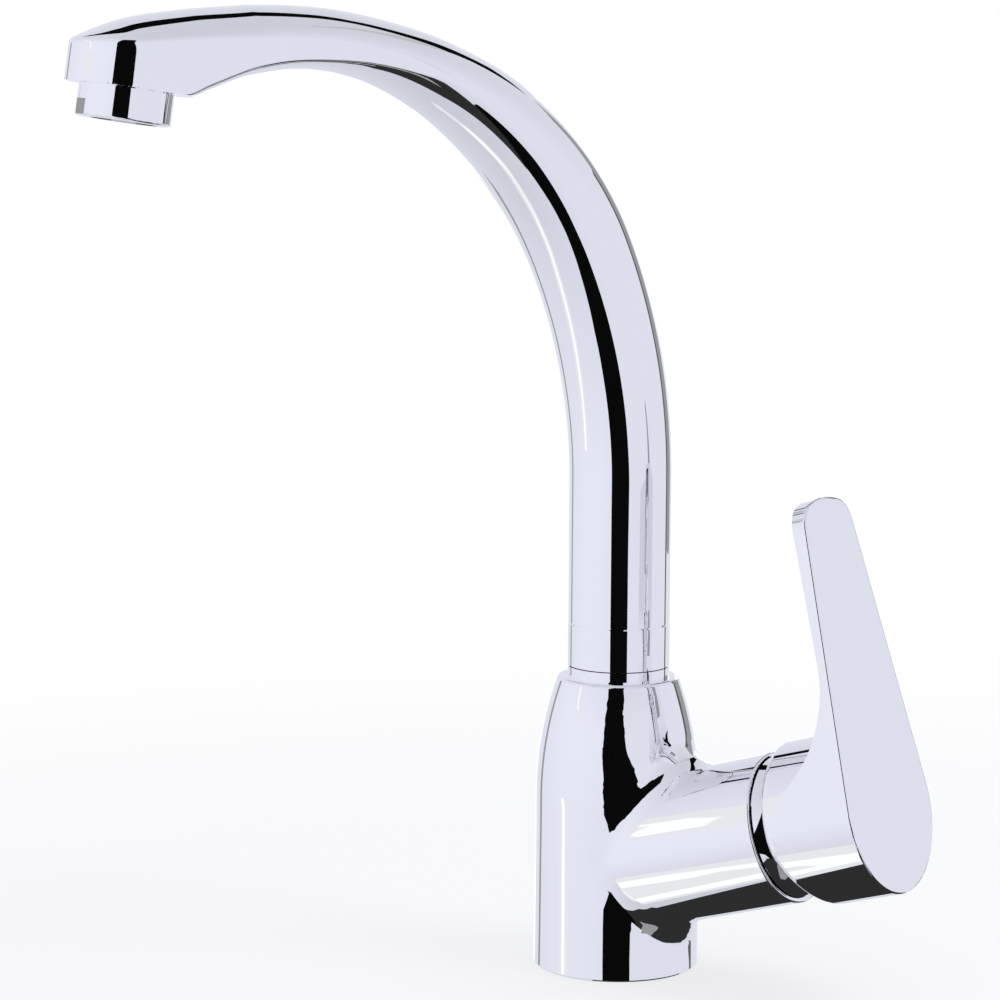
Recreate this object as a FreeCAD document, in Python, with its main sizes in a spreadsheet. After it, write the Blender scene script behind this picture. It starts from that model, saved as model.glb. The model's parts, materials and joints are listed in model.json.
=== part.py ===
import FreeCAD, Part
import math
import os
import Sketcher

V = FreeCAD.Vector

# Driving dimensions: millimetres and degrees, one cell of the sheet each.
SIZES = {
    # cast body, turned about the upright axis
    "base_radius": 24.5,
    "waist_radius": 24.2,
    "waist_height": 50.0,
    "shoulder_radius": 109.0,
    "neck_height": 87.0,
    "neck_rounding": 1.4,
    "base_chamfer": 0.5,
    # side barrel that holds the cartridge
    "axis_height": 31.0,
    "barrel_angle": 17.0,
    "barrel_radius": 22.0,
    "barrel_length": 61.0,
    "barrel_edge": 0.7,
    "root_fillet": 9.0,
    # cartridge bore, seat and waterways
    "seat_depth": 23.0,
    "bore_radius": 17.4,
    "mouth_radius": 19.2,
    "mouth_start": 55.4,
    "inlet_radius": 4.5,
    "inlet_depth": 12.0,
    "inlet_offset": 9.5,
    "inlet_back": 4.0,
    "filter_inlet_back": 13.5,
    "stud_radius": 3.4,
    "stud_forward": 9.5,
    "supply_radius": 2.5,
    "supply_drop": 4.0,
    "filter_port_drop": 10.5,
    "mixed_radius": 3.0,
    "mixed_offset": 4.6,
    "mixed_rise": 8.4,
    "mixed_exit": 8.3,
    "clean_radius": 2.0,
    "clean_offset": 2.6,
    "clean_rise": 5.0,
    "well_radius": 3.3,
    "well_depth": 12.5,
    "well_seal_radius": 5.2,
    "well_seal_depth": 2.2,
    "groove_inner": 20.4,
    "groove_outer": 23.2,
    "groove_depth": 2.0,
    # swivel socket and the stem that turns in it
    "socket_radius": 13.0,
    "socket_depth": 25.5,
    "stem_radius": 12.7,
    "stem_bore": 8.4,
    "stem_foot": 0.4,
    "seal_section": 1.2,
    "low_seal_lift": 6.5,
    "high_seal_drop": 6.5,
    "glide_height": 2.4,
    "glide_depth": 1.0,
    "keeper_lift": 12.7,
    "keeper_groove": 3.6,
    "keeper_depth": 1.7,
    "keeper_radius": 2.5,
    "keeper_tip": 1.5,
    "keeper_tip_length": 2.2,
    "collar_radius": 15.1,
    "slip_ring_height": 3.0,
    "collar_top": 102.6,
    "seam_gap": 0.5,
    "ring_gap": 0.1,
    "seam_radius": 14.3,
    "spigot_radius": 11.9,
    "spigot_height": 13.0,
    "part_gap": 0.3,
    # swivel spout, drawn in its own upright plane
    "spout_angle": 237.5,
    "bend_start": 145.5,
    "first_bend_radius": 171.0,
    "first_bend_angle": 23.0,
    "arch_radius": 98.0,
    "arch_end_angle": 97.0,
    "block_bend_radius": 235.0,
    "spout_wall": 2.4,
    "straight_sections": 3,
    "bent_sections": 24,
    "side_flat_angle": 3.6,
    "block_half_width": 17.2,
    "block_length": 88.0,
    "outlet_ahead": 1.7,
    "outlet_drop": 6.15,
    "trim_reach": 150.0,
    "outlet_angle": 8.3,
    "cavity_floor": 7.6,
    # filtered water tube and the nozzle in the outlet
    "line_radius": 3.2,
    "line_wall": 1.0,
    "line_turn": 71.0,
    "line_bend": 7.0,
    "line_seat": 3.0,
    "nozzle_radius": 4.4,
    "nozzle_tip_radius": 3.4,
    "nozzle_bore": 2.1,
    # outlet fitting
    "thread_radius": 11.9,
    "thread_height": 4.6,
    "washer_height": 1.4,
    "washer_bore": 8.6,
    "ring_radius": 13.1,
    "ring_height": 9.0,
    "ring_wall": 2.6,
    "ring_lip": 1.4,
    "flat_half_width": 12.5,
    "flat_height": 4.6,
    "flow_slots": 10,
    "flow_slot_radius": 1.3,
    "flow_slot_circle": 7.2,
    "screen_thickness": 0.5,
    "screen_holes": 24,
    "screen_hole_radius": 0.55,
    # cartridge
    "port_disc_height": 6.0,
    "port_seal_height": 1.4,
    "port_seal_wall": 1.1,
    "ceramic_radius": 14.6,
    "ceramic_height": 3.0,
    "water_film": 0.2,
    "slider_radius": 10.4,
    "slider_height": 3.4,
    "slider_chamber": 1.6,
    "driver_radius": 10.9,
    "driver_height": 4.6,
    "shell_wall": 1.3,
    "shell_collar_radius": 14.2,
    "shell_mouth_radius": 11.8,
    "shell_top": 57.6,
    "shell_roof": 3.0,
    "carrier_radius": 15.75,
    "pivot_depth": 50.0,
    "carrier_above": 4.2,
    "carrier_below": 8.4,
    "carrier_slot_up": 7.4,
    "carrier_slot_down": 7.6,
    "pin_radius": 1.5,
    "running_fit": 0.05,
    "pin_half_length": 14.6,
    "spindle_half": 4.0,
    "spindle_gap": 3.6,
    "ball_radius": 2.4,
    "ball_arm": 11.2,
    "ball_neck": 1.8,
    "nut_bore": 14.6,
    "nut_height": 4.6,
    "nut_notch": 1.6,
    # dome between barrel and lever
    "dome_radius": 22.0,
    "dome_centre": 54.0,
    "dome_wall": 1.3,
    "dome_mouth": 14.6,
    "dome_groove": 0.4,
    "dome_step": 1.0,
    "skirt_radius": 19.1,
    "skirt_depth": 0.7,
    # lever handle
    "hub_radius": 24.3,
    "hub_rim": 66.0,
    "hub_wall": 2.7,
    "rim_rounding": 2.3,
    "rim_sweep": 30.0,
    "rim_angle": 20.0,
    "face_depth": 94.8,
    "face_angle": 2.0,
    "face_edge": 0.8,
    "face_plate": 3.2,
    "blade_angle": 7.2,
    "blade_top": 89.8,
    "corner_height": 81.0,
    "corner_radius": 8.0,
    "blade_root": 1.5,
    "sweep_height": 44.5,
    "sweep_radius": 38.0,
    "sweep_ledge": 4.17,
    "boss_radius": 9.2,
    "boss_length": 15.0,
    "socket_fit": 0.05,
    "screw_inset": 6.0,
    "screw_radius": 2.5,
    "screw_length": 5.0,
    "plug_radius": 3.4,
    "plug_height": 2.0,
    # stations of the spout: turn of the mid-line, crown over it, belly under it, half widths
    "root_angle": 0.0,
    "root_crown": 15.0,
    "root_belly": 15.0,
    "root_crown_width": 15.0,
    "root_belly_width": 15.0,
    "stem_angle": 11.0,
    "stem_crown": 15.2,
    "stem_belly": 15.2,
    "stem_crown_width": 15.1,
    "stem_belly_width": 15.1,
    "rise_angle": 23.0,
    "rise_crown": 15.3,
    "rise_belly": 15.2,
    "rise_crown_width": 15.3,
    "rise_belly_width": 15.3,
    "knee_angle": 36.0,
    "knee_crown": 14.8,
    "knee_belly": 14.7,
    "knee_crown_width": 15.7,
    "knee_belly_width": 15.7,
    "bend_angle": 50.0,
    "bend_crown": 13.3,
    "bend_belly": 13.1,
    "bend_crown_width": 16.3,
    "bend_belly_width": 16.4,
    "back_angle": 64.0,
    "back_crown": 10.9,
    "back_belly": 11.0,
    "back_crown_width": 16.9,
    "back_belly_width": 17.2,
    "loin_angle": 78.0,
    "loin_crown": 9.5,
    "loin_belly": 9.0,
    "loin_crown_width": 17.2,
    "loin_belly_width": 19.4,
    "apex_angle": 88.0,
    "apex_crown": 9.6,
    "apex_belly": 8.7,
    "apex_crown_width": 17.2,
    "apex_belly_width": 22.0,
    "fall_angle": 97.0,
    "fall_crown": 10.4,
    "fall_belly": 9.4,
    "fall_crown_width": 17.4,
    "fall_belly_width": 22.8,
    "brow_angle": 101.0,
    "brow_crown": 11.7,
    "brow_belly": 11.7,
    "brow_crown_width": 18.3,
    "brow_belly_width": 26.0,
    "block_angle": 105.0,
    "block_crown": 12.9,
    "block_belly": 15.0,
    "block_crown_width": 20.5,
    "block_belly_width": 28.0,
    "nose_angle": 109.0,
    "nose_crown": 11.4,
    "nose_belly": 15.0,
    "nose_crown_width": 25.0,
    "nose_belly_width": 28.0,
    "tip_angle": 111.5,
    "tip_crown": 9.4,
    "tip_belly": 14.0,
    "tip_crown_width": 26.0,
    "tip_belly_width": 28.0,
    # how far a cutting shape runs past what it cuts
    "cut_past": 2.0,
}

STATIONS = (
    "root",
    "stem",
    "rise",
    "knee",
    "bend",
    "back",
    "loin",
    "apex",
    "fall",
    "brow",
    "block",
    "nose",
    "tip",
)
HEX_SIDES = 6
FULL_TURN = 360.0

doc = FreeCAD.newDocument("FilteredWaterTap")
sheet = doc.addObject("Spreadsheet::Sheet", "sizes")
pieces = []


class Size:
    """A number that also knows the sheet expression it comes from."""

    def __init__(self, value, text):
        self.value = value
        self.text = text

    def __add__(self, other):
        other = as_size(other)
        return Size(self.value + other.value, f"({self.text} + {other.text})")

    def __sub__(self, other):
        other = as_size(other)
        return Size(self.value - other.value, f"({self.text} - {other.text})")

    def __mul__(self, other):
        other = as_size(other)
        return Size(self.value * other.value, f"({self.text} * {other.text})")

    def __truediv__(self, other):
        other = as_size(other)
        return Size(self.value / other.value, f"({self.text} / {other.text})")

    def __neg__(self):
        return Size(-self.value, f"(0 - {self.text})")

    def __rsub__(self, other):
        return as_size(other) - self

    def __rmul__(self, other):
        return as_size(other) * self

    def root(self):
        return Size(math.sqrt(self.value), f"sqrt({self.text})")

    def sin(self):
        return Size(math.sin(math.radians(self.value)), f"sin({self.text})")

    def cos(self):
        return Size(math.cos(math.radians(self.value)), f"cos({self.text})")


def as_size(number):
    return number if isinstance(number, Size) else Size(float(number), str(number))


class Sheet:
    """The driving dimensions, read by name."""

    def __getattr__(self, name):
        return Size(SIZES[name], f"sizes.{name}")


def fill_sheet():
    for row, (name, value) in enumerate(SIZES.items(), 1):
        sheet.set(f"A{row}", name)
        sheet.set(f"B{row}", str(value))
        sheet.setAlias(f"B{row}", name)
    doc.recompute()


s = Sheet()
ZERO = as_size(0)
BARREL = "placement(vector(0; 0; sizes.axis_height); rotation(vector(0; 1; 0); 0 - sizes.barrel_angle))"
SPOUT = "placement(vector(0; 0; 0); rotation(vector(0; 0; 1); sizes.spout_angle))"


def run_of_bends():
    """How far out and up the mid-line comes by the middle of the end block."""
    out = ZERO
    up = s.bend_start
    bends = (
        (s.first_bend_radius, ZERO, s.first_bend_angle),
        (s.arch_radius, s.first_bend_angle, s.arch_end_angle),
        (s.block_bend_radius, s.arch_end_angle, s.block_angle),
    )
    for radius, start, end in bends:
        out += radius * (start.cos() - end.cos())
        up += radius * (end.sin() - start.sin())
    return out, up


BLOCK_OUT, BLOCK_UP = run_of_bends()
REACH = BLOCK_OUT + s.outlet_ahead
OUTLET_HEIGHT = BLOCK_UP - s.outlet_drop
OUTLET = (f"{SPOUT} * placement(vector({REACH.text}; 0; {OUTLET_HEIGHT.text});"
          " rotation(vector(0; 1; 0); 0 - sizes.outlet_angle))")
SOCKET_FLOOR = s.neck_height - s.socket_depth
WELL_FLOOR = SOCKET_FLOOR - s.well_depth
KEEPER_HEIGHT = SOCKET_FLOOR + s.keeper_lift
LOW_SEAL = SOCKET_FLOOR + s.low_seal_lift
HIGH_SEAL = s.neck_height - s.high_seal_drop
BLADE_BACK = s.face_depth - s.blade_root
SPINDLE_END = s.face_depth - s.face_plate - s.spindle_gap
SCREW_DEPTH = SPINDLE_END - s.screw_inset
BOSS_END = s.face_depth - s.face_plate - s.boss_length


# ---- drafting helpers -------------------------------------------------------------------------

def new_piece(label, frame=None):
    body = doc.addObject("PartDesign::Body", label)
    body.Label = label
    if frame:
        body.setExpression("Placement", frame)
    pieces.append(body)
    return body


def new_sketch(body, role, offset=ZERO):
    sketch = body.newObject("Sketcher::SketchObject", f"{body.Name}_sketch")
    plane = next(item for item in body.Origin.OriginFeatures if item.Role == role)
    sketch.AttachmentSupport = [(plane, "")]
    sketch.MapMode = "FlatFace"
    sketch.AttachmentOffset = FreeCAD.Placement(V(0, 0, offset.value), FreeCAD.Rotation())
    sketch.setExpression("AttachmentOffset.Base.z", offset.text)
    return sketch


def dimension(sketch, kind, *where):
    """Add a dimension whose last entry is a Size and bind it to the sheet."""
    size = where[-1]
    number = sketch.addConstraint(Sketcher.Constraint(kind, *where[:-1], size.value))
    sketch.setExpression(f"Constraints[{number}]", size.text)


def pin_down(sketch, edge, end, x, y):
    dimension(sketch, "DistanceX", -1, 1, edge, end, x)
    dimension(sketch, "DistanceY", -1, 1, edge, end, y)


def arc_between(start, end, radius):
    """The shorter arc; a positive radius turns left on the way from start to end."""
    turn = 1 if radius > 0 else -1
    run = V(end[0] - start[0], end[1] - start[1], 0)
    rise = math.sqrt(radius * radius - run.Length ** 2 / 4)
    middle = V((start[0] + end[0]) / 2, (start[1] + end[1]) / 2, 0)
    centre = middle + V(-run.y, run.x, 0).normalize() * rise * turn
    ends = (start, end) if turn > 0 else (end, start)
    angles = [math.atan2(y - centre.y, x - centre.x) for x, y in ends]
    return Part.ArcOfCircle(Part.Circle(centre, V(0, 0, 1), abs(radius)), *angles)


def outline(sketch, corners):
    """Closed outline; a corner is (x, y), or (x, y, radius) where an arc leaves it."""
    first = sketch.GeometryCount
    count = len(corners)
    flat = [(as_size(c[0]), as_size(c[1]), c[2] if len(c) > 2 else None) for c in corners]
    starts = []
    for i, (x, y, radius) in enumerate(flat):
        after = flat[(i + 1) % count]
        here = (x.value, y.value)
        there = (after[0].value, after[1].value)
        if radius is None:
            shape = Part.LineSegment(V(*here, 0), V(*there, 0))
        else:
            shape = arc_between(here, there, radius.value)
        sketch.addGeometry(shape, False)
        starts.append(2 if radius is not None and radius.value < 0 else 1)
    for i in range(count):
        after = (i + 1) % count
        sketch.addConstraint(
            Sketcher.Constraint("Coincident", first + i, 3 - starts[i], first + after, starts[after]))
    for i, (x, y, radius) in enumerate(flat):
        pin_down(sketch, first + i, starts[i], x, y)
        if radius is not None:
            dimension(sketch, "Radius", first + i, radius if radius.value > 0 else -radius)


def circle(sketch, x, y, radius):
    x, y, radius = as_size(x), as_size(y), as_size(radius)
    edge = sketch.addGeometry(Part.Circle(V(x.value, y.value, 0), V(0, 0, 1), radius.value), False)
    pin_down(sketch, edge, 3, x, y)
    dimension(sketch, "Radius", edge, radius)


def box_outline(sketch, x_low, y_low, x_high, y_high):
    outline(sketch, [(x_low, y_low), (x_high, y_low), (x_high, y_high), (x_low, y_high)])


def turning_axis(sketch, start, end):
    """Construction line to turn an outline about."""
    edge = sketch.addGeometry(
        Part.LineSegment(V(start[0].value, start[1].value, 0), V(end[0].value, end[1].value, 0)), True)
    pin_down(sketch, edge, 1, *start)
    pin_down(sketch, edge, 2, *end)


def volume(body):
    doc.recompute()
    return body.Shape.Volume


def add_feature(body, kind, sketch, **settings):
    """Add a sketch based feature and see that it changed the solid the right way."""
    cuts = kind in ("Pocket", "Groove")
    before = volume(body) if cuts else 0.0
    feature = body.newObject(f"PartDesign::{kind}", f"{body.Name}_{kind.lower()}")
    feature.Profile = sketch
    for name, value in settings.items():
        if isinstance(value, Size):
            setattr(feature, name, value.value)
            feature.setExpression(name, value.text)
        else:
            setattr(feature, name, value)
    body.Tip = feature
    after = volume(body)
    if "Invalid" in feature.State or (cuts and after >= before):
        raise RuntimeError(f"{body.Label}: {kind} did nothing")
    return feature


def turn_profile(body, corners, about="V_Axis", kind="Revolution"):
    """Turn an outline of the XZ plane about the upright (V_Axis) or the level axis (H_Axis)."""
    sketch = new_sketch(body, "XZ_Plane")
    outline(sketch, corners)
    return add_feature(body, kind, sketch, ReferenceAxis=(sketch, [about]), Angle=FULL_TURN)


def turned_ring(label, frame, about, inner, outer, low, high):
    """A plain ring or bush; about X its low and high are depths, about Z they are heights."""
    body = new_piece(label, frame)
    if about == "H_Axis":
        corners = [(low, inner), (high, inner), (high, outer), (low, outer)]
    else:
        corners = [(inner, low), (outer, low), (outer, high), (inner, high)]
    turn_profile(body, corners, about)
    return body


def drill(body, role, start, depth, holes):
    """Cut round holes of (x, y, radius), from a plane at start, against its normal."""
    sketch = new_sketch(body, role, start)
    for x, y, radius in holes:
        circle(sketch, x, y, radius)
    return add_feature(body, "Pocket", sketch, Length=depth)


def slanted_hole(body, side, start, end, radius):
    """Drill a waterway between two points of a plane that stands at side, across the barrel."""
    sketch = new_sketch(body, "XZ_Plane", -side)
    run = (end[0] - start[0], end[1] - start[1])
    length = (run[0] * run[0] + run[1] * run[1]).root()
    across = (-run[1] / length * radius, run[0] / length * radius)
    turning_axis(sketch, start, end)
    outline(sketch, [
        start,
        end,
        (end[0] + across[0], end[1] + across[1]),
        (start[0] + across[0], start[1] + across[1]),
    ])
    return add_feature(body, "Groove", sketch, ReferenceAxis=(sketch, ["Axis0"]), Angle=FULL_TURN)


def round_edges(body, kind, size, wanted):
    """Fillet or chamfer the edges that wanted picks from the body's finished shape."""
    doc.recompute()
    base = body.Tip
    edges = [f"Edge{i}" for i, edge in enumerate(base.Shape.Edges, 1) if wanted(edge)]
    if not edges:
        raise RuntimeError(f"{body.Label}: no edge to round")
    feature = body.newObject(f"PartDesign::{kind}", f"{body.Name}_{kind.lower()}")
    feature.Base = (base, edges)
    name = "Radius" if kind == "Fillet" else "Size"
    setattr(feature, name, size.value)
    feature.setExpression(name, size.text)
    body.Tip = feature
    doc.recompute()
    if "Invalid" in feature.State:
        raise RuntimeError(f"{body.Label}: {kind} failed")
    return feature


def is_circle(edge, radius, centre=None, tolerance=0.02):
    """True for a whole circle of that radius, about that centre if one is given."""
    curve = edge.Curve
    if not isinstance(curve, Part.Circle) or not edge.isClosed():
        return False
    if abs(curve.Radius - radius) > tolerance:
        return False
    return centre is None or (curve.Center - centre).Length < tolerance


def seal_ring(label, frame, height, ring_radius, section_radius):
    """An O-ring that lies level at height."""
    ring = doc.addObject("Part::Torus", label)
    ring.Label = label
    ring.setExpression("Radius1", ring_radius.text)
    ring.setExpression("Radius2", section_radius.text)
    lift = f"placement(vector(0; 0; {height.text}); rotation(vector(0; 0; 1); 0))"
    ring.setExpression("Placement", f"{frame} * {lift}" if frame else lift)
    pieces.append(ring)


# ---- fixed body -------------------------------------------------------------------------------

def on_barrel(depth, lift):
    """Point of the XZ plane at a depth along the barrel's axis and a lift square to it."""
    across = s.barrel_angle.cos()
    along = s.barrel_angle.sin()
    return (depth * across - lift * along, s.axis_height + depth * along + lift * across)


def shoulder_radius_at(height):
    rise = height - s.waist_height
    drop = s.shoulder_radius - (s.shoulder_radius * s.shoulder_radius - rise * rise).root()
    return s.waist_radius - drop


# ports of the cartridge seat: name, place across the barrel, place up the barrel, radius
PORTS = (
    ("hot", s.inlet_offset, -s.supply_drop, s.supply_radius),
    ("cold", -s.inlet_offset, -s.supply_drop, s.supply_radius),
    ("filter", ZERO, -s.filter_port_drop, s.supply_radius),
    ("mixed", s.mixed_offset, s.mixed_rise, s.mixed_radius),
    ("clean", -s.clean_offset, s.clean_rise, s.clean_radius),
)


def build_body():
    body = new_piece("tap_body")
    neck_radius = shoulder_radius_at(s.neck_height)
    turn_profile(body, [
        (ZERO, ZERO),
        (s.base_radius, ZERO),
        (s.waist_radius, s.waist_height, s.shoulder_radius),
        (neck_radius, s.neck_height),
        (ZERO, s.neck_height),
    ])
    barrel = new_sketch(body, "XZ_Plane")
    turning_axis(barrel, on_barrel(ZERO, ZERO), on_barrel(s.barrel_length, ZERO))
    outline(barrel, [
        on_barrel(ZERO, ZERO),
        on_barrel(s.barrel_length, ZERO),
        on_barrel(s.barrel_length, s.barrel_radius),
        on_barrel(ZERO, s.barrel_radius),
    ])
    add_feature(body, "Revolution", barrel, ReferenceAxis=(barrel, ["Axis0"]), Angle=FULL_TURN)
    round_edges(body, "Fillet", s.root_fillet, is_barrel_root)
    round_edges(body, "Fillet", s.neck_rounding, lambda e: is_circle(e, neck_radius.value))
    round_edges(body, "Chamfer", s.base_chamfer, lambda e: is_circle(e, s.base_radius.value))
    round_edges(body, "Fillet", s.barrel_edge, lambda e: is_circle(e, s.barrel_radius.value))
    bore_for_cartridge(body)
    bore_for_swivel(body)
    drill_waterways(body)


def is_barrel_root(edge):
    """The edge where the barrel leaves the upright body."""
    return not isinstance(edge.Curve, (Part.Circle, Part.Line)) and edge.BoundBox.XMin > 0


def bore_for_cartridge(body):
    bore = new_sketch(body, "XZ_Plane")
    mouth_end = s.barrel_length + s.cut_past
    turning_axis(bore, on_barrel(ZERO, ZERO), on_barrel(s.barrel_length, ZERO))
    outline(bore, [
        on_barrel(s.seat_depth, ZERO),
        on_barrel(mouth_end, ZERO),
        on_barrel(mouth_end, s.mouth_radius),
        on_barrel(s.mouth_start, s.mouth_radius),
        on_barrel(s.mouth_start, s.bore_radius),
        on_barrel(s.seat_depth, s.bore_radius),
    ])
    add_feature(body, "Groove", bore, ReferenceAxis=(bore, ["Axis0"]), Angle=FULL_TURN)


def bore_for_swivel(body):
    seal_floor = SOCKET_FLOOR - s.well_seal_depth
    turn_profile(body, [
        (ZERO, WELL_FLOOR),
        (s.well_radius, WELL_FLOOR),
        (s.well_radius, seal_floor),
        (s.well_seal_radius, seal_floor),
        (s.well_seal_radius, SOCKET_FLOOR),
        (s.socket_radius, SOCKET_FLOOR),
        (s.socket_radius, s.neck_height + s.cut_past),
        (ZERO, s.neck_height + s.cut_past),
    ], kind="Groove")
    turn_profile(body, [
        (s.groove_inner, -s.cut_past),
        (s.groove_outer, -s.cut_past),
        (s.groove_outer, s.groove_depth),
        (s.groove_inner, s.groove_depth),
    ], kind="Groove")
    keeper = new_sketch(body, "XZ_Plane")
    circle(keeper, ZERO, KEEPER_HEIGHT, s.keeper_radius)
    add_feature(body, "Pocket", keeper, Length=s.base_radius + s.cut_past)


def drill_waterways(body):
    top = s.inlet_depth
    drill(body, "XY_Plane", top, top + s.cut_past, [
        (-s.inlet_back, s.inlet_offset, s.inlet_radius),
        (-s.inlet_back, -s.inlet_offset, s.inlet_radius),
        (-s.filter_inlet_back, ZERO, s.inlet_radius),
        (s.stud_forward, ZERO, s.stud_radius),
    ])
    past_seat = s.seat_depth + s.cut_past
    below = top - s.cut_past
    for side in (s.inlet_offset, -s.inlet_offset):
        slanted_hole(body, side, (-s.inlet_back, below), on_barrel(past_seat, -s.supply_drop), s.supply_radius)
    slanted_hole(body, ZERO, (-s.filter_inlet_back, below),
                 on_barrel(past_seat, -s.filter_port_drop), s.supply_radius)
    slanted_hole(body, s.mixed_offset, on_barrel(past_seat, s.mixed_rise),
                 (s.mixed_exit, SOCKET_FLOOR + s.cut_past), s.mixed_radius)
    slanted_hole(body, -s.clean_offset, on_barrel(past_seat, s.clean_rise),
                 (ZERO, WELL_FLOOR + s.clean_radius), s.clean_radius)


def build_fixed_fittings():
    turned_ring("base_seal", None, "V_Axis", s.groove_inner, s.groove_outer, ZERO, s.groove_depth)
    seal_floor = SOCKET_FLOOR - s.well_seal_depth
    turned_ring("filter_line_seal", None, "V_Axis", s.line_radius + s.running_fit, s.well_seal_radius,
                seal_floor, SOCKET_FLOOR)
    turned_ring("swivel_ring", None, "V_Axis", s.socket_radius, s.collar_radius,
                s.neck_height, s.neck_height + s.slip_ring_height)
    build_keeper_screw()


def build_keeper_screw():
    """Grub screw at the back of the neck whose tip runs in the stem's groove."""
    body = new_piece("spout_keeper_screw")
    groove_floor = s.stem_radius - s.keeper_depth + s.part_gap
    tip_end = groove_floor + s.keeper_tip_length
    head = shoulder_radius_at(KEEPER_HEIGHT) - s.part_gap
    drive = new_sketch(body, "XZ_Plane", -head)
    circle(drive, ZERO, KEEPER_HEIGHT, s.keeper_radius)
    add_feature(body, "Pad", drive, Length=head - tip_end)
    tip = new_sketch(body, "XZ_Plane", -tip_end)
    circle(tip, ZERO, KEEPER_HEIGHT, s.keeper_tip)
    add_feature(body, "Pad", tip, Length=tip_end - groove_floor)
    hexagon = new_sketch(body, "XZ_Plane", -head)
    corner = s.keeper_tip
    turns = [as_size(FULL_TURN * side / HEX_SIDES) for side in range(HEX_SIDES)]
    outline(hexagon, [(corner * turn.cos(), KEEPER_HEIGHT + corner * turn.sin()) for turn in turns])
    add_feature(body, "Pocket", hexagon, Length=s.keeper_tip * 2, Reversed=True)


# ---- cartridge --------------------------------------------------------------------------------

def build_cartridge():
    seat = s.seat_depth
    disc_start = seat + s.port_disc_height
    slider_start = disc_start + s.ceramic_height + s.water_film
    driver_start = slider_start + s.slider_height
    build_port_disc(seat, disc_start)
    build_port_seals(seat)
    build_fixed_disc(disc_start)
    build_slider(slider_start, driver_start)
    build_driver(driver_start)
    build_shell(seat)
    build_carrier()
    build_spindle()
    build_nut()
    build_dome()


def build_port_disc(seat, end):
    body = new_piece("cartridge_base", BARREL)
    turn_profile(body, [
        (seat, ZERO),
        (end, ZERO),
        (end, s.bore_radius - s.shell_wall),
        (seat, s.bore_radius - s.shell_wall),
    ], "H_Axis")
    drill(body, "YZ_Plane", end, s.port_disc_height, [(x, y, r) for _, x, y, r in PORTS])
    drill(body, "YZ_Plane", seat + s.port_seal_height, s.port_seal_height,
          [(x, y, r + s.port_seal_wall) for _, x, y, r in PORTS])


def build_port_seals(seat):
    """One rubber ring round each port, all in one moulded set."""
    sketch = doc.addObject("Sketcher::SketchObject", "port_seal_rings")
    for _, x, y, radius in PORTS:
        circle(sketch, x, y, radius)
        circle(sketch, x, y, radius + s.port_seal_wall)
    seals = doc.addObject("Part::Extrusion", "port_seals")
    seals.Label = "port_seals"
    seals.Base = sketch
    seals.DirMode = "Normal"
    seals.Solid = True
    seals.setExpression("LengthFwd", s.port_seal_height.text)
    upright = "placement(vector(sizes.seat_depth; 0; 0); rotation(vector(1; 1; 1); 120))"
    seals.setExpression("Placement", f"{BARREL} * {upright}")
    pieces.append(seals)


def build_fixed_disc(start):
    end = start + s.ceramic_height
    body = new_piece("fixed_disc", BARREL)
    turn_profile(body, [(start, ZERO), (end, ZERO), (end, s.ceramic_radius), (start, s.ceramic_radius)],
                 "H_Axis")
    drill(body, "YZ_Plane", end, s.ceramic_height, [(x, y, r) for _, x, y, r in PORTS])


def build_slider(start, end):
    """Sliding ceramic disc with the mixing chamber in its face."""
    body = new_piece("moving_disc", BARREL)
    turn_profile(body, [(start, ZERO), (end, ZERO), (end, s.slider_radius), (start, s.slider_radius)],
                 "H_Axis")
    chamber = s.slider_radius / 2
    drill(body, "YZ_Plane", start + s.slider_chamber, s.slider_chamber, [(ZERO, ZERO, chamber)])


def build_driver(start):
    """Plastic driver that the spindle's ball pushes across."""
    end = start + s.driver_height
    body = new_piece("disc_driver", BARREL)
    turn_profile(body, [(start, ZERO), (end, ZERO), (end, s.driver_radius), (start, s.driver_radius)],
                 "H_Axis")
    half = s.ball_radius + s.part_gap
    slot = new_sketch(body, "YZ_Plane", end)
    box_outline(slot, -half, -half, half, half)
    add_feature(body, "Pocket", slot, Length=s.driver_height - s.part_gap)


def build_shell(seat):
    """Plastic housing that holds the discs on the port base."""
    roof = s.shell_top - s.shell_roof
    body = new_piece("cartridge_shell", BARREL)
    inner = s.bore_radius - s.shell_wall
    turn_profile(body, [
        (seat, inner),
        (roof, inner),
        (roof, s.shell_mouth_radius),
        (s.shell_top, s.shell_mouth_radius),
        (s.shell_top, s.shell_collar_radius),
        (s.mouth_start, s.shell_collar_radius),
        (s.mouth_start, s.bore_radius),
        (seat, s.bore_radius),
    ], "H_Axis")


def build_carrier():
    """Guide that turns with the lever and carries its pivot pin."""
    start = s.pivot_depth - s.carrier_below
    end = s.pivot_depth + s.carrier_above
    body = new_piece("lever_carrier", BARREL)
    turn_profile(body, [(start, ZERO), (end, ZERO), (end, s.carrier_radius), (start, s.carrier_radius)],
                 "H_Axis")
    slot = new_sketch(body, "YZ_Plane", end)
    side = s.spindle_half + s.part_gap
    box_outline(slot, -side, -s.carrier_slot_down, side, s.carrier_slot_up)
    add_feature(body, "Pocket", slot, Length=s.carrier_below + s.carrier_above)
    cross = new_sketch(body, "XZ_Plane")
    circle(cross, s.pivot_depth, ZERO, s.pin_radius)
    add_feature(body, "Pocket", cross, Length=s.pin_half_length * 2, SideType="Symmetric")
    pin = new_piece("spindle_pin", BARREL)
    round_pin = new_sketch(pin, "XZ_Plane")
    circle(round_pin, s.pivot_depth, ZERO, s.pin_radius)
    add_feature(pin, "Pad", round_pin, Length=s.pin_half_length * 2, SideType="Symmetric")


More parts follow.
